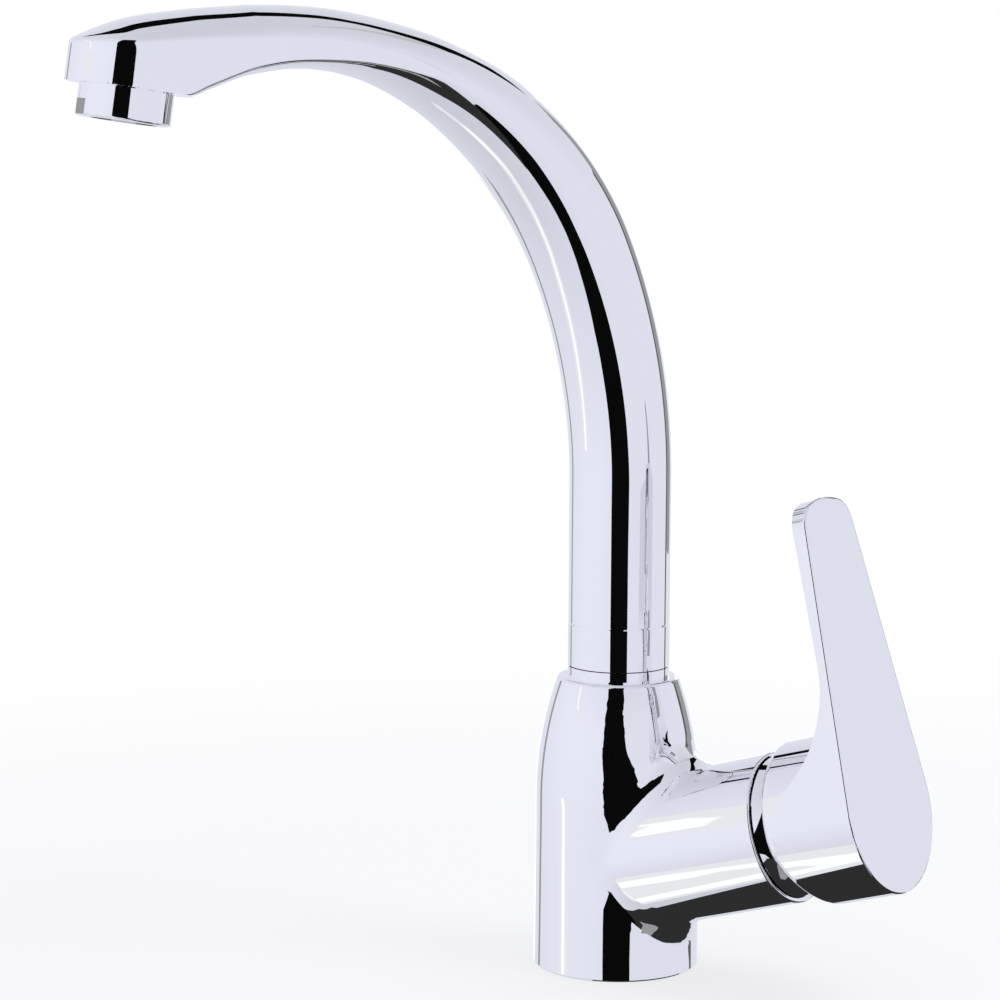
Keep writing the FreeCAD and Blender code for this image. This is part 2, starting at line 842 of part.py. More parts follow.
def build_spindle():
    """Steel spindle: square shank outside the pivot, ball ended arm inside it."""
    body = new_piece("spindle", BARREL)
    shank_start = s.pivot_depth - s.spindle_half
    shank = new_sketch(body, "YZ_Plane", shank_start)
    box_outline(shank, -s.spindle_half, -s.spindle_half, s.spindle_half, s.spindle_half)
    add_feature(body, "Pad", shank, Length=SPINDLE_END - shank_start)
    ball_depth = s.pivot_depth - s.ball_arm
    turn_profile(body, [
        (ball_depth - s.ball_radius, ZERO, -s.ball_radius),
        (ball_depth, s.ball_radius),
        (ball_depth + s.ball_radius, s.ball_neck),
        (shank_start + s.ball_neck, s.ball_neck),
        (shank_start + s.ball_neck, ZERO),
    ], "H_Axis")
    hole = new_sketch(body, "XZ_Plane")
    circle(hole, s.pivot_depth, ZERO, s.pin_radius + s.running_fit)
    add_feature(body, "Pocket", hole, Length=s.spindle_half * 3, SideType="Symmetric")


def build_nut():
    """Brass ring nut that presses the cartridge onto its seat."""
    start = s.mouth_start
    end = start + s.nut_height
    body = new_piece("cartridge_nut", BARREL)
    turn_profile(body, [
        (start, s.nut_bore),
        (end, s.nut_bore),
        (end, s.mouth_radius),
        (start, s.mouth_radius),
    ], "H_Axis")
    for role_low, role_high in ((ZERO, s.mouth_radius), (-s.mouth_radius, ZERO)):
        notch = new_sketch(body, "YZ_Plane", end)
        box_outline(notch, -s.nut_notch, role_low, s.nut_notch, role_high)
        add_feature(body, "Pocket", notch, Length=s.nut_notch)


def build_dome():
    """Chromed dome cap, a sphere that the lever's rim swings round."""
    body = new_piece("dome_ring", BARREL)
    outer = s.dome_radius
    inner = outer - s.dome_wall
    start = s.barrel_length + s.dome_groove
    step = s.dome_step

    def height_of(radius, depth):
        reach = depth - s.dome_centre
        return (radius * radius - reach * reach).root()

    def depth_of(radius, height):
        return s.dome_centre + (radius * radius - height * height).root()

    skirt_start = s.barrel_length - s.skirt_depth
    skirt_inner = s.skirt_radius - s.dome_wall
    groove_top = height_of(outer, start) - step
    turn_profile(body, [
        (skirt_start, skirt_inner),
        (skirt_start, s.skirt_radius),
        (s.barrel_length, s.skirt_radius),
        (s.barrel_length, groove_top),
        (start, groove_top),
        (start, height_of(outer, start), -outer),
        (depth_of(outer, s.dome_mouth), s.dome_mouth),
        (depth_of(inner, s.dome_mouth), s.dome_mouth, inner),
        (depth_of(inner, skirt_inner), skirt_inner),
    ], "H_Axis")


# ---- lever ------------------------------------------------------------------------------------

def blade_outline():
    """Outline of the lever seen along the barrel: round hub, straight taper, rounded end."""
    hub = s.hub_radius
    lean = (s.blade_angle.cos(), s.blade_angle.sin())
    corner = (hub - s.corner_radius - s.corner_height * lean[1]) / lean[0]
    above = s.blade_top - s.corner_height
    top_radius = ((corner * corner + above * above - s.corner_radius * s.corner_radius)
                  / (2 * (above - s.corner_radius)))
    top_centre = s.blade_top - top_radius
    reach = top_radius - s.corner_radius
    tangent = (hub * lean[0], hub * lean[1])
    corner_low = (corner + s.corner_radius * lean[0], s.corner_height + s.corner_radius * lean[1])
    corner_high = (corner / reach * top_radius,
                   top_centre + (s.corner_height - top_centre) / reach * top_radius)
    return [
        (ZERO, -hub, hub),
        tangent,
        (corner_low[0], corner_low[1], s.corner_radius),
        (corner_high[0], corner_high[1], top_radius),
        (-corner_high[0], corner_high[1], s.corner_radius),
        (-corner_low[0], corner_low[1]),
        (-tangent[0], tangent[1], hub),
    ]


def hub_outline():
    """The hub's circle, parted where the blade's sides run into it."""
    hub = s.hub_radius
    side = hub * s.blade_angle.cos()
    rise = hub * s.blade_angle.sin()
    return [(ZERO, -hub, hub), (side, rise, hub), (-side, rise, hub)]


def sweep_blade(body, wide, high):
    """Thin the blade from behind with a concave sweep that ends in a ledge low on the hub."""
    back = s.hub_rim - s.cut_past
    root = s.hub_radius * s.blade_angle.sin()
    root_depth = s.hub_rim + s.rim_rounding + s.part_gap
    low_depth = s.hub_rim + s.rim_rounding + s.sweep_ledge
    ahead = low_depth - BLADE_BACK + s.sweep_radius
    low_height = s.sweep_height - (s.sweep_radius * s.sweep_radius - ahead * ahead).root()
    sweep = new_sketch(body, "XZ_Plane")
    outline(sweep, [
        (BLADE_BACK, high),
        (back, high),
        (back, root),
        (root_depth, root),
        (low_depth, low_height, s.sweep_radius),
        (BLADE_BACK, s.sweep_height),
    ])
    add_feature(body, "Pocket", sweep, Length=wide, SideType="Symmetric")


def build_lever():
    body = new_piece("lever_handle", BARREL)
    past_face = s.face_depth + s.blade_top * s.face_angle.sin() + s.cut_past
    length = past_face - s.hub_rim
    wide = (s.hub_radius + s.cut_past) * 2
    high = s.blade_top + s.cut_past
    blade = new_sketch(body, "YZ_Plane", s.hub_rim)
    outline(blade, blade_outline())
    add_feature(body, "Pad", blade, Length=length)
    sweep_blade(body, wide, high)
    hub = new_sketch(body, "YZ_Plane", s.hub_rim)
    outline(hub, hub_outline())
    add_feature(body, "Pad", hub, Length=length)
    cut_face(body, past_face, wide, high)
    cut_rim(body, wide)
    round_edges(body, "Fillet", s.rim_rounding, is_rim_edge)
    round_edges(body, "Fillet", s.face_edge, is_face_edge)
    hollow_lever(body)
    fit_lever_screw(body)


def cut_face(body, past_face, wide, high):
    """Trim the outer face to its leaning plane."""
    low = -s.hub_radius - s.cut_past
    slope = s.face_angle.sin() / s.face_angle.cos()
    face = new_sketch(body, "XZ_Plane")
    outline(face, [
        (s.face_depth + low * slope, low),
        (s.face_depth + high * slope, high),
        (past_face + s.cut_past, high),
        (past_face + s.cut_past, low),
    ])
    add_feature(body, "Pocket", face, Length=wide, SideType="Symmetric")


def cut_rim(body, wide):
    """Relieve the lower half of the rear rim so that it clears the barrel when lifted."""
    bend = s.rim_sweep
    turn = s.rim_angle
    low = -s.hub_radius - s.cut_past
    bend_end = (s.hub_rim + bend * (1 - turn.cos()), -bend * turn.sin())
    foot = bend_end[0] + (bend_end[1] - low) * turn.sin() / turn.cos()
    back = s.hub_rim - s.cut_past
    rim = new_sketch(body, "XZ_Plane")
    outline(rim, [
        (back, ZERO),
        (back, low),
        (foot, low),
        (bend_end[0], bend_end[1], -bend),
        (s.hub_rim, ZERO),
    ])
    add_feature(body, "Pocket", rim, Length=wide, SideType="Symmetric")


def is_rim_edge(edge):
    """The outer edge of the hub's rear rim, round and relieved parts alike."""
    box = edge.BoundBox
    middle = edge.valueAt((edge.FirstParameter + edge.LastParameter) / 2)
    off_axis = math.hypot(middle.y, middle.z)
    behind = box.XMin < s.hub_rim.value + s.rim_rounding.value
    crosswise = box.YLength > s.part_gap.value / 2
    return behind and crosswise and abs(off_axis - s.hub_radius.value) < s.running_fit.value


def is_face_edge(edge):
    """The outline of the lever's outer face."""
    box = edge.BoundBox
    return box.XMin > BLADE_BACK.value + s.part_gap.value and box.YLength > s.part_gap.value


def hollow_lever(body):
    end = s.face_depth - s.face_plate
    inner = s.hub_radius - s.hub_wall
    cavity = new_sketch(body, "YZ_Plane", end)
    circle(cavity, ZERO, ZERO, inner)
    circle(cavity, ZERO, ZERO, s.boss_radius)
    add_feature(body, "Pocket", cavity, Length=end - s.hub_rim + s.cut_past)
    boss_cut = new_sketch(body, "YZ_Plane", BOSS_END)
    circle(boss_cut, ZERO, ZERO, s.boss_radius + s.part_gap)
    add_feature(body, "Pocket", boss_cut, Length=BOSS_END - s.hub_rim + s.cut_past)
    half = s.spindle_half + s.socket_fit
    socket = new_sketch(body, "YZ_Plane", SPINDLE_END)
    box_outline(socket, -half, -half, half, half)
    add_feature(body, "Pocket", socket, Length=SPINDLE_END - BOSS_END + s.cut_past)


def fit_lever_screw(body):
    """Grub screw behind the hub that grips the spindle, and the plug that hides it."""
    screw_hole = new_sketch(body, "XZ_Plane")
    circle(screw_hole, SCREW_DEPTH, ZERO, s.screw_radius)
    add_feature(body, "Pocket", screw_hole, Length=s.boss_radius + s.part_gap)
    inner = s.hub_radius - s.hub_wall
    access = new_sketch(body, "XZ_Plane", -(inner - s.cut_past))
    circle(access, SCREW_DEPTH, ZERO, s.plug_radius)
    add_feature(body, "Pocket", access, Length=s.hub_wall + s.cut_past * 2)
    screw = new_piece("lever_screw", BARREL)
    shank = new_sketch(screw, "XZ_Plane", -s.spindle_half)
    circle(shank, SCREW_DEPTH, ZERO, s.screw_radius)
    add_feature(screw, "Pad", shank, Length=s.screw_length, Reversed=True)
    plug = new_piece("index_plug", BARREL)
    disc = new_sketch(plug, "XZ_Plane", -inner)
    circle(disc, SCREW_DEPTH, ZERO, s.plug_radius)
    add_feature(plug, "Pad", disc, Length=s.plug_height, Reversed=True)


# ---- swivel spout -----------------------------------------------------------------------------

def build_stem():
    """Brass stem and collar that the spout turns on."""
    foot = SOCKET_FLOOR + s.stem_foot
    collar_low = s.neck_height + s.slip_ring_height + s.part_gap
    body = new_piece("spout_collar")
    turn_profile(body, [
        (s.stem_bore, foot),
        (s.stem_radius, foot),
        (s.stem_radius, collar_low),
        (s.collar_radius, collar_low),
        (s.collar_radius, s.collar_top),
        (s.seam_radius, s.collar_top),
        (s.seam_radius, s.collar_top + s.seam_gap),
        (s.spigot_radius, s.collar_top + s.seam_gap),
        (s.spigot_radius, s.collar_top + s.spigot_height),
        (s.stem_bore, s.collar_top + s.spigot_height),
    ])
    seal_circle = s.socket_radius - s.seal_section - s.running_fit
    seal_depth = s.stem_radius - seal_circle + s.seal_section
    for height in (LOW_SEAL, HIGH_SEAL):
        cut_stem_groove(body, height - s.seal_section, s.seal_section * 2, seal_depth)
    low_glide = SOCKET_FLOOR + s.stem_foot
    high_glide = collar_low - s.glide_height
    for low in (low_glide, high_glide):
        cut_stem_groove(body, low, s.glide_height, s.glide_depth)
    cut_stem_groove(body, KEEPER_HEIGHT - s.keeper_groove / 2, s.keeper_groove, s.keeper_depth)
    seal_ring("lower_stem_seal", None, LOW_SEAL, seal_circle, s.seal_section)
    seal_ring("upper_stem_seal", None, HIGH_SEAL, seal_circle, s.seal_section)
    glide_inner = s.stem_radius - s.glide_depth
    glide_outer = s.socket_radius - s.running_fit
    turned_ring("lower_glide_ring", None, "V_Axis", glide_inner, glide_outer,
                low_glide, low_glide + s.glide_height)
    turned_ring("upper_glide_ring", None, "V_Axis", glide_inner, glide_outer,
                high_glide, high_glide + s.glide_height)


def cut_stem_groove(body, low, height, depth):
    turn_profile(body, [
        (s.stem_radius - depth, low),
        (s.stem_radius + s.cut_past, low),
        (s.stem_radius + s.cut_past, low + height),
        (s.stem_radius - depth, low + height),
    ], kind="Groove")


def mid_line(angle):
    """Point of the spout's mid-line where it has turned by angle, as (out, up)."""
    out = 0.0
    up = SIZES["bend_start"]
    turned = 0.0
    bends = (
        (SIZES["first_bend_radius"], SIZES["first_bend_angle"]),
        (SIZES["arch_radius"], SIZES["arch_end_angle"]),
        (SIZES["block_bend_radius"], 180.0),
    )
    for radius, until in bends:
        stop = min(angle, until)
        before, after = math.radians(turned), math.radians(stop)
        out += radius * (math.cos(before) - math.cos(after))
        up += radius * (math.sin(after) - math.sin(before))
        turned = stop
        if stop >= angle:
            break
    return out, up


def stretched_arc(start, end, width, height):
    """Arc of a unit circle between two angles, stretched to the section's size."""
    arc = Part.ArcOfCircle(Part.Circle(V(0, 0, 0), V(0, 0, 1), 1.0), start, end).toShape()
    stretch = FreeCAD.Matrix()
    stretch.scale(width, height, 1.0)
    return arc.transformGeometry(stretch).Edges[0]


def size_between(kind, angle):
    """A station size at any turn of the mid-line, on a smooth curve that never overshoots."""
    turns = [SIZES[f"{name}_angle"] for name in STATIONS]
    sizes = [SIZES[f"{name}_{kind}"] for name in STATIONS]
    steps = [b - a for a, b in zip(turns, turns[1:])]
    rates = [(b - a) / step for a, b, step in zip(sizes, sizes[1:], steps)]
    slopes = [0.0]
    for before, after in zip(rates, rates[1:]):
        level = before * after <= 0
        slopes.append(0.0 if level else 2 * before * after / (before + after))
    slopes.append(rates[-1])
    span = max(i for i, turn in enumerate(turns[:-1]) if turn <= angle)
    step = steps[span]
    part = (angle - turns[span]) / step
    rest = 1 - part
    ends = sizes[span] * (1 + 2 * part) * rest ** 2 + sizes[span + 1] * (3 - 2 * part) * part ** 2
    return ends + step * part * rest * (slopes[span] * rest - slopes[span + 1] * part)


def section_at(angle, height, inset):
    """Closed section square to the mid-line: crown, side, belly, side; height lowers it."""
    side = math.radians(SIZES["side_flat_angle"])
    limit = SIZES["block_half_width"] if inset else SIZES["trim_reach"]
    crown_width = min(size_between("crown_width", angle), limit) - inset
    belly_width = min(size_between("belly_width", angle), limit) - inset
    crown_height = size_between("crown", angle) - inset
    belly_height = size_between("belly", angle) - inset
    crown = stretched_arc(side, math.pi - side, crown_width, crown_height)
    belly = stretched_arc(math.pi + side, 2 * math.pi - side, belly_width, belly_height)
    left = Part.makeLine(crown.valueAt(crown.LastParameter), belly.valueAt(belly.FirstParameter))
    right = Part.makeLine(belly.valueAt(belly.LastParameter), crown.valueAt(crown.FirstParameter))
    wire = Part.Wire([crown, left, belly, right])
    out, up = mid_line(angle)
    outward = V(-math.cos(math.radians(angle)), 0, math.sin(math.radians(angle)))
    across = V(0, 1, 0)
    ahead = across.cross(outward)
    turn = FreeCAD.Matrix(
        across.x, outward.x, ahead.x, out,
        across.y, outward.y, ahead.y, 0,
        across.z, outward.z, ahead.z, up - height,
        0, 0, 0, 1)
    return wire.transformed(turn, True)


def spout_loft(last_angle, inset):
    """Loft from the foot of the tube to the last angle, inset by the thickness of a wall."""
    tube = SIZES["bend_start"] - SIZES["collar_top"] - SIZES["seam_gap"]
    straight = int(SIZES["straight_sections"])
    sections = [section_at(0.0, tube * (1 - i / straight), inset) for i in range(straight)]
    bent = int(SIZES["bent_sections"])
    sections += [section_at(last_angle * i / bent, 0.0, inset) for i in range(bent + 1)]
    return Part.makeLoft(sections, True, False)


def outlet_frame():
    """Placement of the outlet in the spout's own plane: Z points up into the spout."""
    turn = FreeCAD.Rotation(V(0, 1, 0), -SIZES["outlet_angle"])
    return FreeCAD.Placement(V(REACH.value, 0, OUTLET_HEIGHT.value), turn)


def in_outlet_frame(shape):
    moved = shape.copy()
    moved.Placement = outlet_frame().multiply(moved.Placement)
    return moved


def block_trimmer():
    """What the end block is trimmed with: all but straight sides, a round nose and a flat foot."""
    half = SIZES["block_half_width"]
    length = SIZES["block_length"]
    tall = SIZES["trim_reach"]
    nose = Part.makeCylinder(half, tall)
    sides = Part.makeBox(tall, half * 2, tall, V(-tall, -half, 0))
    around = Part.makeBox(length + tall, tall, tall * 2, V(-length, -tall / 2, -tall))
    return in_outlet_frame(around.cut([nose, sides]))


def build_spout_shell():
    """Hollow cast spout: a loft from tube to block, trimmed, bored and cored."""
    wall = SIZES["spout_wall"]
    foot = SIZES["collar_top"] + SIZES["seam_gap"]
    outer = spout_loft(SIZES["tip_angle"], 0.0).cut(block_trimmer())
    core = spout_loft(SIZES["block_angle"], wall)
    floor_cut = Part.makeBox(SIZES["trim_reach"], SIZES["trim_reach"], SIZES["trim_reach"],
                             V(-SIZES["trim_reach"] / 2, -SIZES["trim_reach"] / 2, -SIZES["trim_reach"]))
    floor_cut.translate(V(0, 0, SIZES["cavity_floor"]))
    core = core.cut(in_outlet_frame(floor_cut))
    socket = Part.makeCylinder(SIZES["spigot_radius"], SIZES["spigot_height"], V(0, 0, foot))
    throat = Part.makeCylinder(SIZES["washer_bore"], SIZES["cavity_floor"] + wall)
    seat = Part.makeCylinder(SIZES["thread_radius"], SIZES["thread_height"] + SIZES["washer_height"])
    shape = outer.cut([core, socket, in_outlet_frame(throat), in_outlet_frame(seat)])
    shell = doc.addObject("Part::Feature", "spout_shell")
    shell.Label = "spout_shell"
    shell.Shape = shape.Solids[0]
    shell.setExpression("Placement", SPOUT)
    pieces.append(shell)


def build_filter_line():
    """Plastic tube for filtered water, from the body's well through the spout to the nozzle."""
    body = new_piece("filter_tube", SPOUT)
    start = WELL_FLOOR + s.clean_radius * 2
    first = s.first_bend_angle
    path = new_sketch(body, "XZ_Plane")
    points = [(ZERO, start), (ZERO, s.bend_start)]
    points.append((s.first_bend_radius * (1 - first.cos()),
                   s.bend_start + s.first_bend_radius * first.sin()))
    heading = first + s.line_turn
    points.append((points[2][0] + s.arch_radius * (first.cos() - heading.cos()),
                   points[2][1] + s.arch_radius * (heading.sin() - first.sin())))
    tilt = s.outlet_angle
    axis_foot = (REACH, OUTLET_HEIGHT)
    down = (tilt.sin(), -tilt.cos())
    nozzle_top = (axis_foot[0] - down[0] * s.line_seat, axis_foot[1] - down[1] * s.line_seat)
    along = (heading.sin(), heading.cos())
    bend = s.line_bend
    final = 180 - tilt
    bend_shift = (bend * (heading.cos() - final.cos()), bend * (final.sin() - heading.sin()))
    gap = (nozzle_top[0] - bend_shift[0] - points[3][0], nozzle_top[1] - bend_shift[1] - points[3][1])
    cross = along[0] * down[1] - along[1] * down[0]
    straight = (gap[0] * down[1] - gap[1] * down[0]) / cross
    drop = (along[0] * gap[1] - along[1] * gap[0]) / cross
    bend_start = (points[3][0] + along[0] * straight, points[3][1] + along[1] * straight)
    bend_end = (bend_start[0] + bend_shift[0], bend_start[1] + bend_shift[1])
    points += [bend_start, bend_end, (bend_end[0] + down[0] * drop, bend_end[1] + down[1] * drop)]
    radii = (None, s.first_bend_radius, s.arch_radius, None, bend, None)
    draw_path(path, points, radii)
    ring = new_sketch(body, "XY_Plane", start)
    circle(ring, ZERO, ZERO, s.line_radius)
    circle(ring, ZERO, ZERO, s.line_radius - s.line_wall)
    pipe = body.newObject("PartDesign::AdditivePipe", "filter_tube_pipe")
    pipe.Profile = ring
    pipe.Spine = (path, [])
    body.Tip = pipe
    doc.recompute()


def draw_path(sketch, points, radii):
    """Open run of lines and right-hand arcs through the points."""
    for i, radius in enumerate(radii):
        here = (points[i][0].value, points[i][1].value)
        there = (points[i + 1][0].value, points[i + 1][1].value)
        if radius is None:
            edge = sketch.addGeometry(Part.LineSegment(V(*here, 0), V(*there, 0)), False)
            first, last = 1, 2
        else:
            edge = sketch.addGeometry(arc_between(here, there, -radius.value), False)
            first, last = 2, 1
            dimension(sketch, "Radius", edge, radius)
        if i == 0:
            pin_down(sketch, edge, first, *points[0])
        else:
            sketch.addConstraint(Sketcher.Constraint("Coincident", edge - 1, joined, edge, first))
        pin_down(sketch, edge, last, *points[i + 1])
        joined = last


def build_outlet():
    """Screwed outlet ring with its flow insert, screen, washer and filtered water nozzle."""
    inner = s.ring_radius - s.ring_wall
    lip = inner - s.ring_lip
    ring = new_piece("aerator_housing", OUTLET)
    turn_profile(ring, [
        (lip, -s.ring_height),
        (s.ring_radius, -s.ring_height),
        (s.ring_radius, -s.ring_gap),
        (s.thread_radius, -s.ring_gap),
        (s.thread_radius, s.thread_height),
        (inner, s.thread_height),
        (inner, -s.ring_height + s.ring_lip),
        (lip, -s.ring_height + s.ring_lip),
    ])
    for side in (1, -1):
        flat = new_sketch(ring, "XY_Plane", -s.ring_height + s.flat_height)
        near = s.flat_half_width * side
        far = (s.ring_radius + s.cut_past) * side
        low, high = (near, far) if side > 0 else (far, near)
        box_outline(flat, low, -s.ring_radius, high, s.ring_radius)
        add_feature(ring, "Pocket", flat, Length=s.flat_height + s.cut_past)
    round_edges(ring, "Fillet", s.face_edge, is_ring_foot)
    build_insert(inner)
    turned_ring("aerator_washer", OUTLET, "V_Axis", s.washer_bore, s.thread_radius,
                s.thread_height, s.thread_height + s.washer_height)
    build_nozzle()


def is_ring_foot(edge):
    """The outer edge at the foot of the outlet ring, with the flats' straight parts."""
    box = edge.BoundBox
    at_foot = box.ZMax < -SIZES["ring_height"] + 0.01
    middle = edge.valueAt((edge.FirstParameter + edge.LastParameter) / 2)
    return at_foot and math.hypot(middle.x, middle.y) > SIZES["flat_half_width"] - 0.01


def build_insert(inner):
    """Plastic flow straightener with a ring of holes, and the steel screen on top of it."""
    foot = -s.ring_height + s.ring_lip
    top = s.thread_height - s.screen_thickness
    insert = new_piece("aerator_insert", OUTLET)
    bore = s.nozzle_tip_radius
    turn_profile(insert, [(bore, foot), (inner, foot), (inner, top), (bore, top)])
    hole = new_sketch(insert, "XY_Plane", top)
    circle(hole, s.flow_slot_circle, ZERO, s.flow_slot_radius)
    slot = add_feature(insert, "Pocket", hole, Length=top - foot)
    repeat_round(insert, slot, "flow_slots")
    screen = new_piece("aerator_screen", OUTLET)
    turn_profile(screen, [(bore, top), (inner, top), (inner, s.thread_height), (bore, s.thread_height)])
    mesh_hole = new_sketch(screen, "XY_Plane", s.thread_height)
    circle(mesh_hole, s.flow_slot_circle, ZERO, s.screen_hole_radius)
    mesh = add_feature(screen, "Pocket", mesh_hole, Length=s.screen_thickness)
    repeat_round(screen, mesh, "screen_holes")


def repeat_round(body, feature, count_name):
    pattern = body.newObject("PartDesign::PolarPattern", f"{body.Name}_ring")
    pattern.Originals = [feature]
    axis = next(item for item in body.Origin.OriginFeatures if item.Role == "Z_Axis")
    pattern.Axis = (axis, [""])
    pattern.Angle = FULL_TURN
    pattern.setExpression("Occurrences", f"sizes.{count_name}")
    body.Tip = pattern
    doc.recompute()


def build_nozzle():
    """Nozzle that keeps filtered water apart through the middle of the outlet."""
    foot = -s.ring_height
    top = s.thread_height + s.washer_height
    body = new_piece("filter_nozzle", OUTLET)
    turn_profile(body, [
        (s.nozzle_bore, foot),
        (s.nozzle_tip_radius, foot),
        (s.nozzle_tip_radius, s.thread_height),
        (s.nozzle_radius, s.thread_height),
        (s.nozzle_radius, top),
        (s.line_radius, top),
        (s.line_radius, s.line_seat),
        (s.nozzle_bore, s.line_seat),
    ])


fill_sheet()
build_body()
build_fixed_fittings()
build_cartridge()
build_lever()
build_stem()
build_spout_shell()
build_filter_line()
build_outlet()
doc.recompute()

os.makedirs("parts", exist_ok=True)
for item in doc.Objects:
    if "Invalid" in item.State or "Error" in item.State:
        raise RuntimeError(f"{item.Label}: {item.State}")
for piece in pieces:
    if piece.Shape.isNull() or not piece.Shape.isValid():
        raise RuntimeError(f"{piece.Label}: bad shape")
for piece in pieces:
    piece.Shape.exportStep(f"parts/{piece.Label}.step")
    solids = len(piece.Shape.Solids)
    print(f"{piece.Label}: {solids} solid(s), {piece.Shape.Volume:.0f} mm3")
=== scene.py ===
"""Looks of the filtered water tap: finishes, its smooth spout, camera and studio round the CAD frame."""
import json
import logging
import math
from dataclasses import dataclass, field
from enum import Enum

import bpy
from mathutils import Matrix, Vector


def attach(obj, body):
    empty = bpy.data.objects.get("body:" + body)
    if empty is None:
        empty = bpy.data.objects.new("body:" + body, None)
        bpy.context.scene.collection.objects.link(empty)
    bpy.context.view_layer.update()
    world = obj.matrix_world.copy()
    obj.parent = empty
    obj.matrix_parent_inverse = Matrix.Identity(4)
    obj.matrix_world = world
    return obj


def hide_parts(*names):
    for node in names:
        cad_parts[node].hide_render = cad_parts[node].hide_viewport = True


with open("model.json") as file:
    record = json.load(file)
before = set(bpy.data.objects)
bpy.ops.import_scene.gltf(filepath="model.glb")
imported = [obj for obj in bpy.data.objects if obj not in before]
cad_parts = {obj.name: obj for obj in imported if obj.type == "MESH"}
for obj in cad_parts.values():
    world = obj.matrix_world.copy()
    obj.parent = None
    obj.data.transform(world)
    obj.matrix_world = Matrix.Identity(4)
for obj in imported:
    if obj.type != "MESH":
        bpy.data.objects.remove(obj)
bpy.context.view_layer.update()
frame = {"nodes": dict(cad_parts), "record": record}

log = logging.getLogger("tap")
MM = 0.001
PHOTO_TURN = 33.5
WHITE = (1.0, 1.0, 1.0, 1.0)


class Body(Enum):
    """Bodies of the CAD frame that new pieces ride on."""

    SPOUT = "spout"


def add_range(nodes: bpy.types.Nodes, start: float, end: float, low: float, high: float) -> bpy.types.Node:
    """Add a node that carries a value from one range to another.

    Args:
        nodes: The nodes of the tree.
        start: Where the incoming range starts.
        end: Where it ends.
        low: The result at its start.
        high: The result at its end.

    Returns:
        The Map Range node.
    """
    node = nodes.new("ShaderNodeMapRange")
    for name, value in (("From Min", start), ("From Max", end), ("To Min", low), ("To Max", high)):
        node.inputs[name].default_value = value
    return node


# ---- finishes -----------------------------------------------------------------------------------


class WearGroup:
    """Node group that gives polished and moulded surfaces a trace of unevenness."""

    NAME = "FaintWear"
    INPUTS = (("Scale", 40.0), ("Low", 0.02), ("High", 0.05))
    OUTPUTS = ("Roughness", "Height")
    DETAIL = 3.0

    @classmethod
    def get(cls) -> bpy.types.NodeTree:
        """Return the group, built the first time it is asked for.

        Returns:
            The node group with inputs Vector, Scale, Low and High and outputs Roughness and Height.
        """
        if cls.NAME in bpy.data.node_groups:
            return bpy.data.node_groups[cls.NAME]
        tree = bpy.data.node_groups.new(cls.NAME, "ShaderNodeTree")
        sockets = tree.interface
        sockets.new_socket("Vector", in_out="INPUT", socket_type="NodeSocketVector")
        for name, value in cls.INPUTS:
            socket = sockets.new_socket(name, in_out="INPUT", socket_type="NodeSocketFloat")
            socket.default_value = value
        for name in cls.OUTPUTS:
            sockets.new_socket(name, in_out="OUTPUT", socket_type="NodeSocketFloat")
        nodes, links = tree.nodes, tree.links
        entry, leave = nodes.new("NodeGroupInput"), nodes.new("NodeGroupOutput")
        noise = nodes.new("ShaderNodeTexNoise")
        noise.inputs["Detail"].default_value = cls.DETAIL
        spread = nodes.new("ShaderNodeMapRange")
        links.new(entry.outputs["Vector"], noise.inputs["Vector"])
        links.new(entry.outputs["Scale"], noise.inputs["Scale"])
        links.new(noise.outputs["Fac"], spread.inputs["Value"])
        links.new(entry.outputs["Low"], spread.inputs["To Min"])
        links.new(entry.outputs["High"], spread.inputs["To Max"])
        links.new(spread.outputs["Result"], leave.inputs["Roughness"])
        links.new(noise.outputs["Fac"], leave.inputs["Height"])
        return tree


@dataclass(frozen=True)
class Finish:
    """One surface finish: what the shader is set to, and how uneven it is."""

    name: str
    colour: tuple[float, float, float]
    metallic: float
    smooth: float
    dull: float
    scale: float = 60.0
    bump: float = 0.0
    specular: float = 0.5
    bump_depth: float = 0.2 * MM

    def build(self) -> bpy.types.Material:
        """Build the material.

        Returns:
            The finished material.
        """
        material = bpy.data.materials.new(self.name)
        material.use_nodes = True
        nodes, links = material.node_tree.nodes, material.node_tree.links
        shader = nodes["Principled BSDF"]
        shader.inputs["Base Color"].default_value = (*self.colour, 1.0)
        shader.inputs["Metallic"].default_value = self.metallic
        shader.inputs["Specular IOR Level"].default_value = self.specular
        place = nodes.new("ShaderNodeTexCoord")
        wear = nodes.new("ShaderNodeGroup")
        wear.node_tree = WearGroup.get()
        for name, value in (("Scale", self.scale), ("Low", self.smooth), ("High", self.dull)):
            wear.inputs[name].default_value = value
        links.new(place.outputs["Object"], wear.inputs["Vector"])
        links.new(wear.outputs["Roughness"], shader.inputs["Roughness"])
        if self.bump:
            relief = nodes.new("ShaderNodeBump")
            relief.inputs["Strength"].default_value = self.bump
            relief.inputs["Distance"].default_value = self.bump_depth
            links.new(wear.outputs["Height"], relief.inputs["Height"])
            links.new(relief.outputs["Normal"], shader.inputs["Normal"])
        return material


